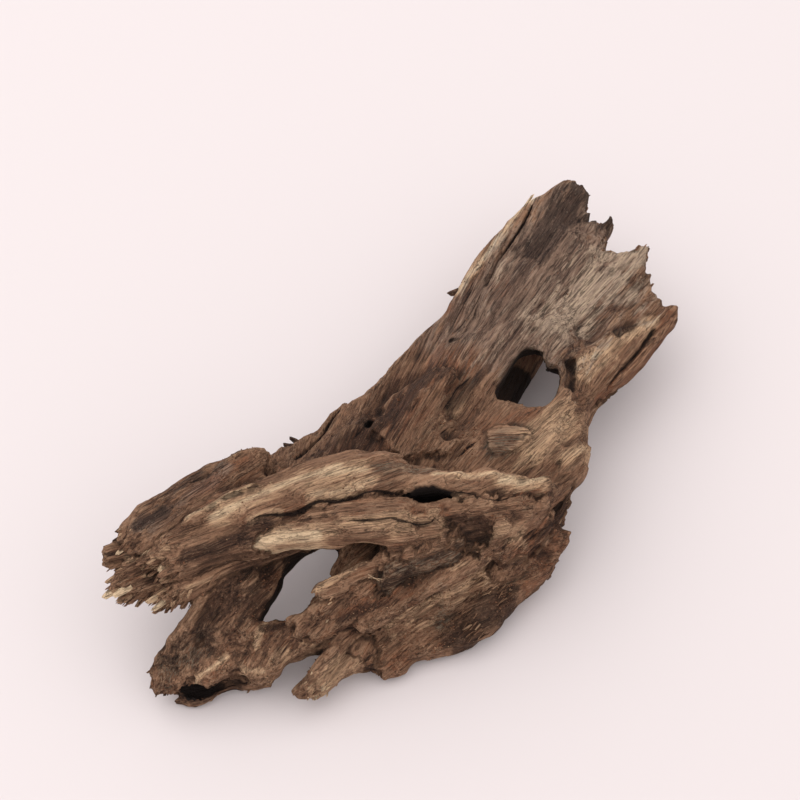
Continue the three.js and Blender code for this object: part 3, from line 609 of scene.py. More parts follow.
def top_level(leaf, x, y):
    """The height of a leaf's top, between its outline's and its crest's heights."""
    lift = leaf["round"] + leaf["wall"] / 2
    points = [(p[0], p[1], p[2] + lift) for p in leaf["outline"]]
    total = weights = 0
    for px, py, height in points + leaf.get("crest", []) + leaf.get("hole", []):
        weight = 1 / ((x - px) ** 2 + (y - py) ** 2 + 1) ** 2
        total = total + height * weight
        weights = weights + weight
    return total / weights


def dent_depth(leaf, x, y):
    """How far the dents and the plates lower a leaf's top."""
    depth = np.zeros(np.shape(x))
    for dent in DENTS:
        if leaf["name"] in dent["leaves"]:
            away = to_line(x, y, dent["line"]) / dent["radius"]
            slope = smooth((away - DENT_SLOPE[0]) / DENT_SLOPE[1])
            depth = np.maximum(depth, dent["depth"] * (1 - slope))
    ragged = sum(height * noise(x / size, y / size, seed=seed) for height, size, seed in PLATE_EDGE)
    for plate in PLATES:
        if leaf["name"] in plate["leaves"]:
            inward = ragged - to_outline(plate["outline"], x, y)
            depth = depth - plate["lift"] * smooth(0.5 + inward / plate["step"])
    return depth


def leaf_column(leaf, index, x, y):
    """A leaf's distance from its edge, its top and its underside over points in plan."""
    c, s = grain_axes(leaf["grain"])
    along, across = x * c + y * s, y * c - x * s
    seed = SEED_STEP * index
    tooth = 0
    for step, (width, share) in enumerate(TOOTH_SIZES):
        place = along / TOOTH_LENGTH, across / width
        tooth = tooth + share * noise(*place, seed=seed + 2 + step / 7)
    tooth = tooth * leaf["teeth"]
    edge = to_outline(leaf["outline"], x + tooth * c, y + tooth * s)
    if "hole" in leaf:
        edge = np.maximum(edge, -to_outline(leaf["hole"], x, y))
    inward = np.clip(-edge / leaf["rim"], 0, 1)
    fallen = 1 - np.sqrt(1 - (1 - inward) ** 2)
    level = top_level(leaf, x, y)
    top = level - leaf["round"] * fallen + relief(along, across, seed) * inward
    rise = (leaf["thick"] - leaf["round"] - leaf["wall"]) * fallen
    under = level - leaf["thick"] + rise - relief(along, across, seed + 5)
    lowest = UNDERSIDE + np.abs(relief(along, across, seed + 6))
    return edge, top - dent_depth(leaf, x, y), np.maximum(under, lowest)


def to_chain(chain, *places):
    """Distance in plan or in space to a chain of rounds, whose last numbers are their radii."""
    nearest = np.inf
    for a, b in zip(chain, chain[1:]):
        run = [end - start for start, end in zip(a, b)]
        gaps = [place - start for place, start in zip(places, a)]
        t = sum(gap * r for gap, r in zip(gaps, run)) / sum(r * r for r in run[:-1])
        t = np.clip(t, 0, 1)
        away = np.sqrt(sum((gap - t * r) ** 2 for gap, r in zip(gaps, run)))
        nearest = np.minimum(nearest, away - (a[-1] + t * run[-1]))
    return nearest


def flow_together(a, b, radius):
    """The smaller of two distances, rounded where they meet."""
    h = np.maximum(radius - np.abs(a - b), 0) / radius
    return np.minimum(a, b) - h * h * radius / 4


def sample_field():
    """The field on a box of cells, negative inside the wood, the leaves' columns, and how much
    nearer the leaves are than the roots."""
    counts = np.ceil((HIGH - LOW) / CELL).astype(int) + 1
    xs, ys, zs = (np.float32(LOW[n] + CELL[n] * np.arange(counts[n])) for n in range(3))
    px, py = np.meshgrid(xs.astype(float), ys.astype(float), indexing="ij")
    columns = [leaf_column(leaf, n, px, py) for n, leaf in enumerate(LEAVES)]
    x, y, z = xs[:, None, None], ys[None, :, None], zs[None, None, :]
    leaves = None
    for edge, top, under in columns:
        edge, top, under = (np.float32(part)[:, :, None] for part in (edge, top, under))
        value = np.maximum(np.maximum(edge, z - top), under - z)
        leaves = value if leaves is None else flow_together(leaves, value, JOIN)
    roots = np.full(leaves.shape, np.inf, np.float32)
    for chain in ROOTS:
        roots = np.minimum(roots, to_chain(chain, x, y, z).astype(np.float32))
    roots += np.float32(relief(px, py, ROOT_SEED))[:, :, None]
    field = flow_together(leaves, roots, ROOT_JOIN)
    for chain in HOLLOWS:
        field = np.maximum(field, -to_chain(chain, x, y, z))
    for cut in CUTS:
        side = np.float32(to_chain(cut["line"], px, py))[:, :, None]
        field = np.maximum(field, -np.maximum(side, cut["floor"] - z))
    return np.maximum(field, -z).astype(np.float32), columns, roots - leaves


def mend_touches(field):
    """Fills samples where the wood would touch itself along an edge only."""
    halves = (slice(None, -1), slice(1, None))
    for turn in range(MEND_TURNS):
        mended = 0
        for edge_axis in (2, 1, 0):
            corner = {}
            for a, b in ((0, 0), (1, 0), (0, 1), (1, 1)):
                place = [halves[a], halves[b]]
                place.insert(edge_axis, slice(None))
                corner[a, b] = tuple(place)
            inside = field < 0
            c00, c10, c01, c11 = (inside[place] for place in corner.values())
            first = c00 & c11 & ~c10 & ~c01
            second = ~c00 & ~c11 & c10 & c01
            mended += int(first.sum() + second.sum())
            field[corner[1, 0]][first] = JUST_INSIDE
            field[corner[0, 0]][second] = JUST_INSIDE
        if not mended:
            return


def skin(field):
    """One point in each cell that the surface crosses, joined into squares across its edges."""
    inside = field < 0
    corners = [(a, b, c) for c in (0, 1) for b in (0, 1) for a in (0, 1)]
    shape = np.array(field.shape) - 1

    def at_corner(array, corner):
        return array[tuple(slice(start, start + size) for start, size in zip(corner, shape))]

    count = sum(at_corner(inside, corner).astype(np.int8) for corner in corners)
    cells = np.argwhere((count > 0) & (count < 8))
    numbers = np.full(shape, -1, np.int32)
    numbers[tuple(cells.T)] = np.arange(len(cells))
    values = np.stack([at_corner(field, corner)[tuple(cells.T)] for corner in corners], 1).astype(float)
    total = np.zeros((len(cells), 3))
    crossings = np.zeros(len(cells))
    for one in range(8):
        for bit in (1, 2, 4):
            if one & bit:
                continue
            va, vb = values[:, one], values[:, one | bit]
            crossed = (va < 0) != (vb < 0)
            t = np.where(crossed, va / np.where(crossed, va - vb, 1), 0)
            a, b = np.array(corners[one]), np.array(corners[one | bit])
            total += np.where(crossed[:, None], a + t[:, None] * (b - a), 0)
            crossings += crossed
    points = (cells + total / crossings[:, None]) * CELL + LOW
    return points, np.concatenate([crossed_edges(inside, numbers, axis) for axis in range(3)])


def crossed_edges(inside, numbers, axis):
    """The squares round the edges along one axis that the surface crosses."""
    near, far = [slice(0, -1)] * 3, [slice(0, -1)] * 3
    far[axis] = slice(1, None)
    near, far = tuple(near), tuple(far)
    changed = inside[near] != inside[far]
    for other in range(3):
        if other != axis:
            first = [slice(None)] * 3
            first[other] = 0
            changed[tuple(first)] = False
    at = np.argwhere(changed)
    u, v = np.eye(3, dtype=int)[(axis + 1) % 3], np.eye(3, dtype=int)[(axis + 2) % 3]
    squares = np.stack([numbers[tuple((at - step).T)] for step in (u + v, v, 0 * u, u)], 1)
    flip = ~inside[near][tuple(at.T)]
    squares[flip] = squares[flip][:, ::-1]
    return squares


def largest_body(points, squares):
    """Keeps the largest connected surface and drops the rest."""
    label = np.arange(len(points))
    while True:
        lowest = label[squares].min(1)
        fresh = label.copy()
        for corner in range(4):
            np.minimum.at(fresh, squares[:, corner], lowest)
        fresh = fresh[fresh]
        if (fresh == label).all():
            break
        label = fresh
    names, sizes = np.unique(label, return_counts=True)
    keep = label == names[sizes.argmax()]
    renumber = np.cumsum(keep) - 1
    squares = squares[keep[squares[:, 0]]]
    return points[keep], renumber[squares]


def corner_normals(points, squares):
    """The outward normal at each point."""
    a, b, c, d = (points[squares[:, n]] for n in range(4))
    face = np.cross(c - a, d - b)
    normals = np.zeros_like(points)
    for corner in range(4):
        np.add.at(normals, squares[:, corner], face)
    return normals / np.maximum(np.linalg.norm(normals, axis=1), 1e-9)[:, None]


def owners(points, columns, root_gap):
    """Which leaf each point of the surface belongs to; the roots come after the leaves."""
    at = np.clip(np.rint((points - LOW) / CELL).astype(int), 0, np.array(root_gap.shape) - 1)
    values = []
    for column in columns:
        edge, top, under = (part[at[:, 0], at[:, 1]] for part in column)
        values.append(np.maximum(np.maximum(edge, points[:, 2] - top), under - points[:, 2]))
    owner = np.argmin(values, 0)
    owner[root_gap[tuple(at.T)] < 0] = len(LEAVES)
    return owner


def on_leaves(owner, names):
    """Which points belong to the named leaves."""
    return np.isin(owner, [number for number, leaf in enumerate(LEAVES) if leaf["name"] in names])


def fibre_lines(leaf, x, y):
    """Places along and across a leaf's fibres, and the direction of the fibres there."""
    if "fan" in leaf:
        dx, dy = x - leaf["fan"][0], y - leaf["fan"][1]
        far = np.hypot(dx, dy)
        return far, FAN_REACH * np.arctan2(dy, dx), dx / far, dy / far
    if "bend" in leaf:
        dx, dy = x - leaf["bend"][0], y - leaf["bend"][1]
        far = np.hypot(dx, dy)
        return BEND_REACH * np.arctan2(dx, dy), far, dy / far, -dx / far
    c, s = grain_axes(leaf.get("fibres", leaf["grain"]))
    return x * c + y * s, y * c - x * s, np.full(x.shape, c), np.full(x.shape, s)


def grain_places(points, owner):
    """Where each point lies along, across and through the grain of its leaf, and the way it runs."""
    x, y, z = points.T
    along, across, c, s = (np.zeros(len(points)) for n in range(4))
    for number, leaf in enumerate(LEAVES + [dict(name="root", grain=ROOT_GRAIN)]):
        mine = owner == number
        lines = list(fibre_lines(leaf, x[mine], y[mine]))
        for knot in KNOTS:
            if leaf["name"] == knot["leaf"]:
                lines[1] = round_knot(knot, leaf, *lines[:2])
        along[mine], across[mine], c[mine], s[mine] = lines
        for plate in PLATES:
            if "fibres" in plate and leaf["name"] in plate["leaves"]:
                on = mine & (to_outline(plate["outline"], x, y) < 0)
                along[on], across[on], c[on], s[on] = fibre_lines(dict(grain=plate["fibres"]), x[on], y[on])
    length, width, seed = SWAY_SIZE
    across = across + SWAY * noise(along / length, across / width, seed=seed) + LEAF_STEP * owner
    return np.stack([along, across, z], 1), np.stack([c, s, 0 * c], 1)


def round_knot(knot, leaf, along, across):
    """The place across the fibres, where they give way to a knot."""
    x, y = (np.array([place], float) for place in knot["at"])
    knot_along, knot_across = (place[0] for place in fibre_lines(leaf, x, y)[:2])
    square = (along - knot_along) ** 2 / KNOT_STRETCH + (across - knot_across) ** 2
    push = knot["radius"] ** 2 / np.maximum(square, knot["radius"] ** 2)
    return across - (across - knot_across) * push


def coarseness(owner):
    """How strong the fibres stand out at each point."""
    return np.array([leaf["coarse"] for leaf in LEAVES] + [ROOT_COARSE])[owner]


def terraces(value, steps):
    """The value in flat steps with short slopes between them."""
    whole = np.floor(value * steps)
    return (whole + smooth((value * steps - whole - 0.4) / 0.3)) / steps


def fibre_noise(grain, name):
    """Noise in space, drawn out along the grain."""
    length, width, seed = FIBRES[name]
    a, b, c = grain.T
    return noise(a / length, b / width, c / width, seed=seed)


def fibre_relief(grain, coarse):
    """Height of the fibres, in millimetres, and how deep each point lies in a groove or a pore."""
    shells = terraces(fibre_noise(grain, "shells") + 0.25 * fibre_noise(grain, "chips"), 3)
    where = smooth(0.5 + 0.9 * fibre_noise(grain, "regions"))
    groove = smooth(1 - np.abs(fibre_noise(grain, "grooves")) / 0.14)
    groove = groove * smooth(0.3 + 1.5 * fibre_noise(grain, "stretches"))
    pore = smooth((fibre_noise(grain, "pores") - 0.5) / 0.3)
    cords = (0.10 + 0.20 * where) * fibre_noise(grain, "cords")
    threads = (0.05 + 0.13 * where) * fibre_noise(grain, "threads")
    height = (PLATE_HEIGHT * fibre_noise(grain, "plates") + cords + threads) * coarse
    height = height + SHELL_HEIGHT * shells + LUMP_HEIGHT * fibre_noise(grain, "lumps")
    height = height - GROOVE_DEPTH * groove * coarse - PORE_DEPTH * pore
    # The second value darkens the wood's colour: the pores are its own dark, the grooves get painted shade.
    return height, np.clip(0.55 * groove * coarse + 0.8 * pore * where, 0, 1)


def beside_line(x, y, line):
    """Signed distance in plan to a line of points, and 1 along it that falls to 0 past its ends."""
    nearest, signed, within = (np.full(len(x), start) for start in (np.inf, 0.0, 0.0))
    last = len(line) - 2
    for number, (a, b) in enumerate(zip(line, line[1:])):
        dx, dy = b[0] - a[0], b[1] - a[1]
        length = math.hypot(dx, dy)
        run = ((x - a[0]) * dx + (y - a[1]) * dy) / length
        held = np.clip(run, -np.inf if number == 0 else 0, np.inf if number == last else length)
        away = np.hypot(x - a[0] - held * dx / length, y - a[1] - held * dy / length)
        side = np.sign((x - a[0]) * dy - (y - a[1]) * dx)
        inside = smooth(np.minimum(run if number == 0 else 9, length - run if number == last else 9) / 3)
        closer = away < nearest
        nearest = np.where(closer, away, nearest)
        signed = np.where(closer, away * side, signed)
        within = np.where(closer, inside, within)
    return signed, within


def split_lines(points, owner):
    """For each point the signed distance to the nearest thin split, its half width and its depth."""
    side, gape, depth = np.full(len(points), SPLIT_REACH), np.zeros(len(points)), np.zeros(len(points))
    for split in SPLITS:
        mine = np.nonzero(on_leaves(owner, split["leaves"]))[0]
        signed, within = beside_line(points[mine, 0], points[mine, 1], split["line"])
        away = np.abs(signed)
        closer = (away < np.abs(side[mine])) & (within > 0)
        near = mine[closer]
        side[near] = signed[closer]
        gape[near] = (split["width"] * within * smooth((SPLIT_REACH - away) / 0.8))[closer]
        depth[near] = (split["depth"] * within * smooth(1.5 - away / max(split["width"], 0.5)))[closer]
    return side, gape, depth


def recess_shade_mask(points, normals):
    """Painted shade, nearly black, inside the cuts, deep in the holes and in the hollows."""
    x, y, z = points.T
    dark_and_shade = np.zeros(len(points))
    for cut in CUTS:
        side = to_chain(cut["line"], x, y)
        wall = np.maximum(smooth((-0.2 - side) / 0.3), smooth((0.8 - normals[:, 2]) / 0.25))
        dark_and_shade = np.maximum(dark_and_shade, smooth((0.5 - side) / 0.35) * wall * (z > cut["floor"] - 2))
    for leaf in LEAVES:
        if "hole" in leaf:
            below = max(p[2] for p in leaf["hole"]) - z
            within = smooth(leaf["dark_wall"] - to_outline(leaf["hole"], x, y))
            wall = np.maximum(smooth((0.6 - normals[:, 2]) / 0.3), smooth((below - 4.5) / 1.5))
            dark_and_shade = np.maximum(dark_and_shade, 0.92 * within * wall * smooth((below - 1.4) / 2.4))
    for chain in HOLLOWS:
        inside = smooth((0.7 - to_chain(chain, x, y, z)) / 0.5)
        dark_and_shade = np.maximum(dark_and_shade, inside * (0.3 + 0.7 * smooth((chain[0][0] + HOLLOW_SHADE_LENGTH - x) / 3)))
    return dark_and_shade


def fray(points, normals, grain, runs):
    """Moves the faces that break across the grain in or out, fibre by fibre."""
    facing = (normals * runs).sum(1)
    broken = smooth((np.abs(facing) - FRAY[0]) / FRAY[1])
    teeth, hairs = FRAY_LENGTHS
    length = teeth * fibre_noise(grain, "teeth") + hairs * fibre_noise(grain, "hairs")
    return points + runs * (broken * np.sign(facing) * length)[:, None]


def settle(points):
    """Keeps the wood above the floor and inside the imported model's box."""
    lo, hi = (np.array(corner) / METRES for corner in cad_box)
    return np.clip(points, lo + MIDDLE, hi + MIDDLE)


def patch_levels(points, owner):
    """For each colour how far each point lies inside its patches, from -1 to 1."""
    levels = {}
    for colour, groups in PATCHES.items():
        levels[colour] = np.full(len(points), -1.0)
        for leaves, patches in groups.items():
            mine = on_leaves(owner, leaves)
            x, y = points[mine, 0], points[mine, 1]
            for ax, ay, bx, by, width, strength in patches:
                away = to_line(x, y, [(ax, ay), (bx, by)]) / width
                level = np.clip(PATCH_EDGE - away, -1, 1) - PATCH_FADE * (1 - strength)
                levels[colour][mine] = np.maximum(levels[colour][mine], level)
    return levels


def hollowness(points, squares, normals, rounds):
    """How far each point lies below its neighbours: positive in a groove, negative on a ridge."""
    flat = points
    for turn in range(rounds):
        flat = spread(flat, squares)
    return ((flat - points) * normals).sum(1)


def box_mean(values, reach):
    """The mean of values over a box of cells round each cell."""
    for axis, cells in enumerate(reach):
        pad = [(0, 0)] * 3
        pad[axis] = (cells + 1, cells)
        total = np.cumsum(np.pad(values, pad), axis, dtype=np.float32)
        upper, lower = [slice(None)] * 3, [slice(None)] * 3
        upper[axis], lower[axis] = slice(2 * cells + 1, None), slice(0, -2 * cells - 1)
        values = (total[tuple(upper)] - total[tuple(lower)]) / (2 * cells + 1)
    return values


def closeness(field, points, normals, radius):
    """How much wood stands round each point: about a half on an open face, more in a crevice."""
    share = box_mean((field < 0).astype(np.float32), np.rint(radius / CELL).astype(int))
    out = points + normals * radius / 2
    at = np.clip(np.rint((out - LOW) / CELL).astype(int), 0, np.array(field.shape) - 1)
    return share[tuple(at.T)]


def spread(values, squares):
    """Each point's mean over the squares round it."""
    middle = values[squares].mean(1)
    total = np.zeros_like(values)
    count = np.zeros(len(values))
    for corner in range(4):
        np.add.at(total, squares[:, corner], middle)
        np.add.at(count, squares[:, corner], 1)
    return total / count.reshape((-1,) + (1,) * (values.ndim - 1))


def make_piece(name, material, points, faces, marks, rounded=True):
    """A piece of the look, in metres in the model's frame, with its marks at its points."""
    mesh = bpy.data.meshes.new(name)
    places = ((points - MIDDLE) * METRES).astype(np.float32)
    corners = faces.shape[1]
    mesh.vertices.add(len(points))
    mesh.vertices.foreach_set("co", places.ravel())
    mesh.loops.add(faces.size)
    mesh.loops.foreach_set("vertex_index", faces.astype(np.int32).ravel())
    mesh.polygons.add(len(faces))
    mesh.polygons.foreach_set("loop_start", np.arange(0, faces.size, corners, dtype=np.int32))
    mesh.polygons.foreach_set("use_smooth", np.full(len(faces), rounded))
    for key, values in marks.items():
        kind, field = ("FLOAT_VECTOR", "vector") if values.ndim == 2 else ("FLOAT", "value")
        data = mesh.attributes.new(key, kind, "POINT").data
        data.foreach_set(field, values.astype(np.float32).ravel())
    mesh.update()
    mesh.validate()
    mesh.materials.append(material)
    piece = bpy.data.objects.new(name, mesh)
    bpy.context.collection.objects.link(piece)
    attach(piece, "root")
    return piece


def chosen(points, owner, leaves, at, reach, heights):
    """The surface points on the named leaves round a place in plan."""
    near = np.hypot(points[:, 0] - at[0], points[:, 1] - at[1]) < reach
    level = (points[:, 2] > heights[0]) & (points[:, 2] < heights[1])
    return np.nonzero(near & level & on_leaves(owner, leaves))[0]


def splinter(foot, run, width, thickness, twist):
    """A flat spike with four sides, from its foot to a cut tip: points and triangles."""
    length = np.linalg.norm(run)
    way = run / length
    side = np.cross(way, (0.0, 0.0, 1.0))
    side /= max(np.linalg.norm(side), 1e-6)
    up = np.cross(side, way)
    side, up = side * math.cos(twist) + up * math.sin(twist), up * math.cos(twist) - side * math.sin(twist)
    rings = []
    for share, size in SPIKE_RINGS:
        middle = foot + run * share + up * thickness * SPIKE_BEND * share
        for a, b in ((-1, 0), (0, 1), (1, 0), (0, -1)):
            rings.append(middle + (side * a * width + up * b * thickness) * size / 2)
    rings.append(foot + run + side * width * 0.2)
    triangles = [(0, 2, 1), (0, 3, 2)]
    for ring in (0, 4):
        for n in range(4):
            a, b = ring + n, ring + (n + 1) % 4
            triangles += [(a, b, b + 4), (a, b + 4, a + 4)]
    triangles += [(8 + n, 8 + (n + 1) % 4, 12) for n in range(4)]
    return np.array(rings), np.array(triangles)


def plain_marks(count):
    """Marks of wood without patches, splits or grooves."""
    marks = {key: np.zeros(count) for key in ("crack", "hollow", "crevice_shade", "recess_shade", "gape", "smoothness")}
    marks.update({colour: np.full(count, -1.0) for colour in PATCHES})
    marks["split"] = np.full(count, SPLIT_REACH)
    return marks


def joined(parts):
    """The points and triangles of many parts, as those of one."""
    starts = np.cumsum([0] + [len(points) for points, triangles in parts])
    faces = [triangles + start for (points, triangles), start in zip(parts, starts)]
    return np.concatenate([points for points, triangles in parts]), np.concatenate(faces)


def tuft_spikes(points, normals, owner):
    """The spikes of the tufts: foot, run to the tip, width, thickness, twist and how pale."""
    random = np.random.default_rng(5)
    spikes = []
    for leaves, at, reach, heights, turn, rise, count, lengths, widths, pale in TUFTS:
        spots = chosen(points, owner, leaves, at, reach, heights)
        way = np.array([*grain_axes(turn), rise])
        facing = (normals[spots] @ way) > 0.25
        spots = spots[facing] if facing.any() else spots
        for spot in random.choice(spots, min(count, len(spots)), replace=False):
            length = random.uniform(*lengths)
            width = random.uniform(*widths)
            run = way + random.normal(0, SPIKE_SPREAD, 3)
            run = run / np.linalg.norm(run) * (length + SPIKE_ROOT)
            foot = points[spot] - SPIKE_ROOT * run / np.linalg.norm(run) - SPIKE_SUNK * normals[spot]
            tone = 2 * pale - 1 + random.normal(0, SPIKE_TONES)
            thickness = width * random.uniform(*SPIKE_FLATNESS)
            spikes.append((foot, run, width, thickness, random.uniform(*SPIKE_TWISTS), tone))
    return spikes


def splinters(material, points, normals, owner):
    """Splinters on the broken ends, all of them rooted in the wood."""
    spikes = tuft_spikes(points, normals, owner)
    for foot, tip, width, thickness, tone in SPIKES:
        foot, tip = np.array(foot, float), np.array(tip, float)
        spikes.append((foot, tip - foot, width, thickness, SPIKE_TWIST, tone))
    parts, tones, grain = [], [], []
    for number, (foot, run, width, thickness, twist, tone) in enumerate(spikes):
        spike, triangles = splinter(foot, run, width, thickness, twist)
        if spike[:, 2].min() < SPIKE_LOWEST:
            continue
        way = run / np.linalg.norm(run)
        along = (spike - foot) @ way
        across = (spike - foot) @ np.cross(way, (0, 0, 1)) + SPIKE_STEP * number
        parts.append((spike, triangles))
        tones.append(np.full(len(spike), tone))
        grain.append(np.stack([along, across, spike[:, 2]], 1))
    tones = np.concatenate(tones)
    places, triangles = joined(parts)
    marks = dict(plain_marks(len(tones)), grain=np.concatenate(grain), pale=tones, dark_and_shade=-0.6 - tones)
    make_piece("driftwood_splinters", material, settle(places), triangles, marks, False)


def crumbs(material, points, normals, owner):
    """Small irregular crumbs that lie on the wood."""
    random = np.random.default_rng(9)
    corners = np.array([(1, 0, 0), (-1, 0, 0), (0, 1, 0), (0, -1, 0), (0, 0, 1), (0, 0, -1)], float)
    upper = [(0, 2, 4), (2, 1, 4), (1, 3, 4), (3, 0, 4)]
    sides = np.array(upper + [(b, a, 5) for a, b, top in upper])
    share, larger = LARGE_CRUMBS
    parts, tones = [], []
    for leaves, at, reach, count in CRUMBS:
        spots = chosen(points, owner, leaves, at, reach, CRUMB_HEIGHTS)
        spots = spots[normals[spots][:, 2] > STEEP]
        for spot in random.choice(spots, min(count, len(spots)), replace=False):
            size = random.uniform(*CRUMB_SIZES) * (larger if random.random() < share else 1)
            shape = corners * random.uniform(*CRUMB_SHAPES, (6, 1)) * size
            turn = random.uniform(0, math.tau)
            c, s = math.cos(turn), math.sin(turn)
            spun = shape @ np.array([(c, s, 0), (-s, c, 0), (0, 0, 1)])
            parts.append((spun + points[spot] + normals[spot] * size * 0.3, sides))
            tones.append(np.full(6, random.uniform(*CRUMB_TONES)))
    tones = np.concatenate(tones)
    places, triangles = joined(parts)
    marks = dict(plain_marks(len(tones)), grain=places, pale=tones, red=-tones)
    make_piece("driftwood_crumbs", material, settle(places), triangles, marks, False)


class Nodes:
    """Builds a material's nodes."""

    def __init__(self, name):
        self.material = bpy.data.materials.new(name)
        self.material.use_nodes = True
        self.tree = self.material.node_tree
        self.shader = self.tree.nodes["Principled BSDF"]

    def put(self, socket, value):
        if isinstance(value, bpy.types.NodeSocket):
            self.tree.links.new(value, socket)
        else:
            socket.default_value = value

    def make(self, kind, values, output=0, **settings):
        """A node with its settings and the values of its inputs; gives one of its outputs."""
        node = self.tree.nodes.new("ShaderNode" + kind)
        for key, value in settings.items():
            setattr(node, key, value)
        for key, value in values.items():
            self.put(node.inputs[key], value)
        return node.outputs[output]

    def attribute(self, name, output="Fac"):
        return self.make("Attribute", {}, output, attribute_name=name)

    def noise(self, vector, scale, detail, roughness):
        place = self.make("VectorMath", {0: vector, 1: scale}, operation="MULTIPLY")
        values = dict(Vector=place, Scale=1, Detail=detail, Roughness=roughness)
        return self.make("TexNoise", values, "Fac")

    def step(self, value, low, high, to_low=0, to_high=1):
        keys = ("Value", "From Min", "From Max", "To Min", "To Max")
        values = dict(zip(keys, (value, low, high, to_low, to_high)))
        return self.make("MapRange", values, "Result", interpolation_type="SMOOTHSTEP")

    def math(self, operation, a, b):
        return self.make("Math", {0: a, 1: b}, operation=operation)

    def times(self, a, b):
        return self.math("MULTIPLY", a, b)

    def apart(self, a, b):
        return self.math("ABSOLUTE", self.math("SUBTRACT", a, b), 0.0)

    def blend(self, amount, a, b, how="MIX"):
        return self.make("Mix", {0: amount, 6: a, 7: b}, 2, data_type="RGBA", blend_type=how)

    def bump(self, height, distance, **values):
        return self.make("Bump", dict(values, Strength=1, Distance=distance, Height=height))


# Colours, as linear red, green and blue.
UMBER = (0.060, 0.029, 0.019, 1)
BROWN = (0.160, 0.079, 0.047, 1)
TAN = (0.310, 0.171, 0.102, 1)
FAWN = (0.365, 0.222, 0.138, 1)
STRAW = (0.490, 0.305, 0.180, 1)
CREAM = (0.700, 0.510, 0.330, 1)
RUST = (0.240, 0.090, 0.044, 1)
ASH = (0.170, 0.130, 0.092, 1)
# Near black: the dark pores, hairs and splits, and the painted shade in grooves, crevices, holes and on the
# roots.
BLACK_AND_SHADE = (0.010, 0.006, 0.005, 1)
COOL = (0.90, 1.05, 1.24, 1)  # a tint
FLOOR_COLOUR = (0.67, 0.605, 0.607, 1)
SKY_COLOUR = (1.0, 0.985, 0.98, 1)
KEY_COLOUR = (1.0, 0.99, 0.98)

# Noise in the wood's colour: waves a millimetre along, across and through the grain, their detail
# and their roughness.
WOOD_NOISES = dict(
    streak=((0.035, 1.3, 1.3), 4, 0.7),
    fine=((0.06, 2.2, 2.2), 3, 0.7),
    broad=((0.03, 0.2, 0.2), 4, 0.6),
    patchy=((0.08, 0.4, 0.4), 5, 0.65),
    grit=((1.3, 1.7, 1.7), 4, 0.75),
    dashes=((0.17, 2.0, 2.0), 2, 0.5),
    long_waves=((0.022, 0.75, 0.75), 2, 0.5),
    short_waves=((0.05, 1.7, 1.7), 2, 0.5),
)

# The photograph's camera in the frame of the leaves, in millimetres, with its lens.
CAMERA_PLACE = (-250.4, -233.1, 517.8)
CAMERA_TARGET = (17.5, 31.0, 0.0)
LENS = 103.5
SENSOR = 36

# The studio, in metres and watts.
FLOOR_SIDE = 6.0
KEY_PLACE = (-0.35, 0.75, 1.15)
KEY_SIZE = 1.7
KEY_POWER = 6
SKY_STRENGTH = 1.25


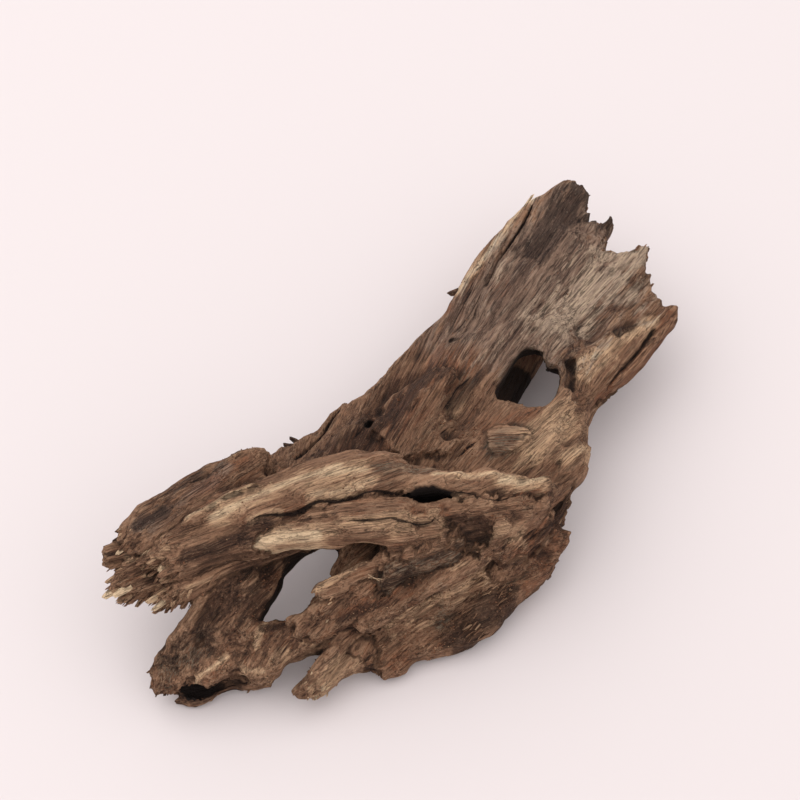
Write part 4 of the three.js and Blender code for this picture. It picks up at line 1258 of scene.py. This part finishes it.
def wood_material():
    """Weathered wood: fibres along the grain, pores, pale worn ridges, and grooves painted near-black as
    shade.
    """
    n = Nodes("wood")
    grain = n.attribute("grain", "Vector")
    streak, fine, broad, patchy, grit, dashes, long_waves, short_waves = (
        n.noise(grain, *setting) for setting in WOOD_NOISES.values()
    )
    dash = n.step(dashes, 0.57, 0.62)
    long_line = n.step(n.apart(long_waves, 0.5), 0.022, 0.006)
    short_line = n.step(n.apart(short_waves, 0.5), 0.022, 0.006, 0, 0.6)
    hair = n.times(n.math("MAXIMUM", long_line, short_line), n.step(broad, 0.40, 0.55, 0.2, 1))
    ragged = n.math("SUBTRACT", n.math("ADD", n.times(patchy, 3.0), streak), 2.0)

    def patch(name, strength):
        return n.step(n.math("ADD", n.attribute(name), ragged), 0.0, 0.55, 0, strength)

    rough = n.math("SUBTRACT", 1.0, n.attribute("smoothness"))
    colour = n.blend(n.step(streak, 0.31, 0.69), BROWN, TAN)
    umber = n.blend(n.step(streak, 0.42, 0.60), UMBER, BROWN)
    colour = n.blend(n.step(broad, 0.48, 0.62, 0, 0.7), colour, umber)
    rusty = n.blend(n.step(fine, 0.42, 0.58), RUST, TAN)
    colour = n.blend(n.step(patchy, 0.52, 0.62, 0, 0.55), colour, rusty)
    colour = n.blend(patch("red", 0.75), colour, n.blend(n.step(fine, 0.40, 0.60), BROWN, RUST))
    colour = n.blend(patch("grey", 0.9), colour, n.blend(n.step(fine, 0.43, 0.57), BROWN, ASH))
    ridge = n.step(n.attribute("hollow"), -0.02, -0.20, 0, 0.6)
    colour = n.blend(n.times(ridge, n.step(fine, 0.42, 0.58)), colour, FAWN)
    straw = n.blend(n.step(fine, 0.40, 0.60), FAWN, STRAW)
    bright = n.math("ADD", n.attribute("pale"), n.math("SUBTRACT", streak, 0.5))
    colour = n.blend(patch("pale", 1.0), colour, n.blend(n.step(bright, 0.55, 1.2), straw, CREAM))
    # Dark patches: the wood's own dark brown, and painted shade where marked in PATCHES and on the roots'
    # steep faces.
    colour = n.blend(patch("dark_and_shade", 0.8), colour, n.blend(n.step(fine, 0.4, 0.62), BLACK_AND_SHADE, UMBER))
    for amount, share, stain in (
        (n.times(n.step(fine, 0.45, 0.36, 0, 0.55), rough), 0.7, UMBER),
        (n.times(dash, rough), 0.56, BLACK_AND_SHADE),
        (n.step(grit, 0.58, 0.65, 0, 0.5), 0.7, FAWN),
        (n.step(grit, 0.42, 0.36, 0, 0.7), 0.7, UMBER),
    ):
        colour = n.blend(n.times(amount, share), colour, stain)
    colour = n.blend(patch("cool", 1.0), colour, COOL, "MULTIPLY")
    # The hairs are the wood's own dark lines and the pores their own dark; the grooves of the skin, the
    # fibre grooves and the crevices get painted shade.
    for amount, share in (
        (hair, 0.6375),
        (n.step(n.attribute("hollow"), 0.05, 0.36), 0.64),
        (n.attribute("crack"), 0.7),
        (n.attribute("crevice_shade"), 0.75),
    ):
        colour = n.blend(n.times(amount, share), colour, BLACK_AND_SHADE)
    wander = n.times(n.math("SUBTRACT", patchy, 0.5), 0.9)
    split = n.math("ABSOLUTE", n.math("ADD", n.attribute("split"), wander), 0.0)
    gape = n.times(n.attribute("gape"), n.step(patchy, 0.35, 0.65, 0.4, 1.3))
    slit = n.step(n.math("SUBTRACT", gape, split), -0.07, 0.04)
    # The thin splits are drawn near black; the cuts, holes and hollows get painted shade.
    colour = n.blend(n.math("MAXIMUM", n.times(slit, 0.85), n.attribute("recess_shade")), colour, BLACK_AND_SHADE)
    n.put(n.shader.inputs["Base Color"], colour)
    n.put(n.shader.inputs["Roughness"], n.step(streak, 0.3, 0.7, 0.7, 0.95))
    n.shader.inputs["Specular IOR Level"].default_value = 0.14
    sunk = n.math("ADD", n.times(n.math("MAXIMUM", dash, hair), 0.4), slit)
    low = n.bump(n.math("SUBTRACT", n.times(streak, 0.6), sunk), 0.0006)
    n.put(n.shader.inputs["Normal"], n.bump(n.math("ADD", fine, grit), 0.0004, Normal=low))
    return n.material


def floor_material():
    """A plain pale paint."""
    n = Nodes("floor")
    n.shader.inputs["Base Color"].default_value = FLOOR_COLOUR
    n.shader.inputs["Roughness"].default_value = 0.6
    return n.material


def driftwood(material):
    """The whole piece as one skin of wood: its points, their normals and their leaves."""
    field, columns, root_gap = sample_field()
    mend_touches(field)
    points, squares = largest_body(*skin(field))
    points = spread(points, squares)
    owner = owners(points, columns, root_gap)
    grain, runs = grain_places(points, owner)
    normals = corner_normals(points, squares)
    coarse = coarseness(owner)
    height, crack = fibre_relief(grain, coarse)
    side, gape, depth = split_lines(points, owner)
    free = smooth((points[:, 2] - STILL[0]) / STILL[1])
    marks = patch_levels(points, owner)
    # Painted shade on the steep faces of the roots, which lie under the leaves.
    covered = (owner == len(LEAVES)) & (normals[:, 2] < STEEP)
    marks["dark_and_shade"] = np.maximum(marks["dark_and_shade"], np.where(covered, ROOT_SHADE, -1.0))
    # Painted shade in the crevices, where much wood stands round a point.
    wood_near = closeness(field, points, normals, CREVICE_SHADE_REACH)
    marks["crevice_shade"] = smooth((wood_near - CREVICE_SHADE[0]) / CREVICE_SHADE[1])
    # Painted shade inside the cuts, holes and hollows.
    marks["recess_shade"] = recess_shade_mask(points, normals)
    points = points + normals * ((height - depth) * free)[:, None]
    points = settle(fray(points, normals, grain, runs * free[:, None]))
    # How deep each point lies in a groove: grooves get painted shade in the colour, ridges turn paler.
    marks["hollow"] = hollowness(points, squares, normals, HOLLOW_ROUNDS)
    marks.update(grain=grain, crack=crack, split=side, gape=gape, smoothness=1 - np.clip(coarse, 0, 1))
    piece = make_piece("driftwood_wood", material, points, squares, marks)
    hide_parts("driftwood")
    return points, corner_normals(points, squares), owner


def aimed(name, data, place, target):
    """An object at a place that looks at a target."""
    made = bpy.data.objects.new(name, data)
    bpy.context.collection.objects.link(made)
    made.location = place
    made.rotation_euler = (Vector(target) - Vector(place)).to_track_quat("-Z", "Y").to_euler()
    return made


def camera():
    """The photograph's camera, over the split foot and looking along the piece."""
    data = bpy.data.cameras.new("camera")
    data.sensor_width = SENSOR
    data.lens = LENS
    data.clip_start = 0.01
    place, target = ((np.array(spot) - MIDDLE) * METRES for spot in (CAMERA_PLACE, CAMERA_TARGET))
    bpy.context.scene.camera = aimed("camera", data, place, target)


def studio():
    """A plain pale floor under soft light from the upper left of the view."""
    side = FLOOR_SIDE / 2
    mesh = bpy.data.meshes.new("floor")
    corners = [(-side, -side, 0), (side, -side, 0), (side, side, 0), (-side, side, 0)]
    mesh.from_pydata(corners, [], [(0, 1, 2, 3)])
    floor = bpy.data.objects.new("floor", mesh)
    bpy.context.collection.objects.link(floor)
    mesh.materials.append(floor_material())
    key = bpy.data.lights.new("key", "AREA")
    key.size = KEY_SIZE
    key.energy = KEY_POWER
    key.color = KEY_COLOUR
    aimed("key", key, KEY_PLACE, (0, 0, 0))
    world = bpy.data.worlds.new("studio")
    bpy.context.scene.world = world
    world.use_nodes = True
    sky = world.node_tree.nodes["Background"]
    sky.inputs["Color"].default_value = SKY_COLOUR
    sky.inputs["Strength"].default_value = SKY_STRENGTH
    bpy.context.scene.view_settings.view_transform = "Standard"


camera()
studio()
wood = wood_material()
surface = driftwood(wood)
splinters(wood, *surface)
crumbs(wood, *surface)
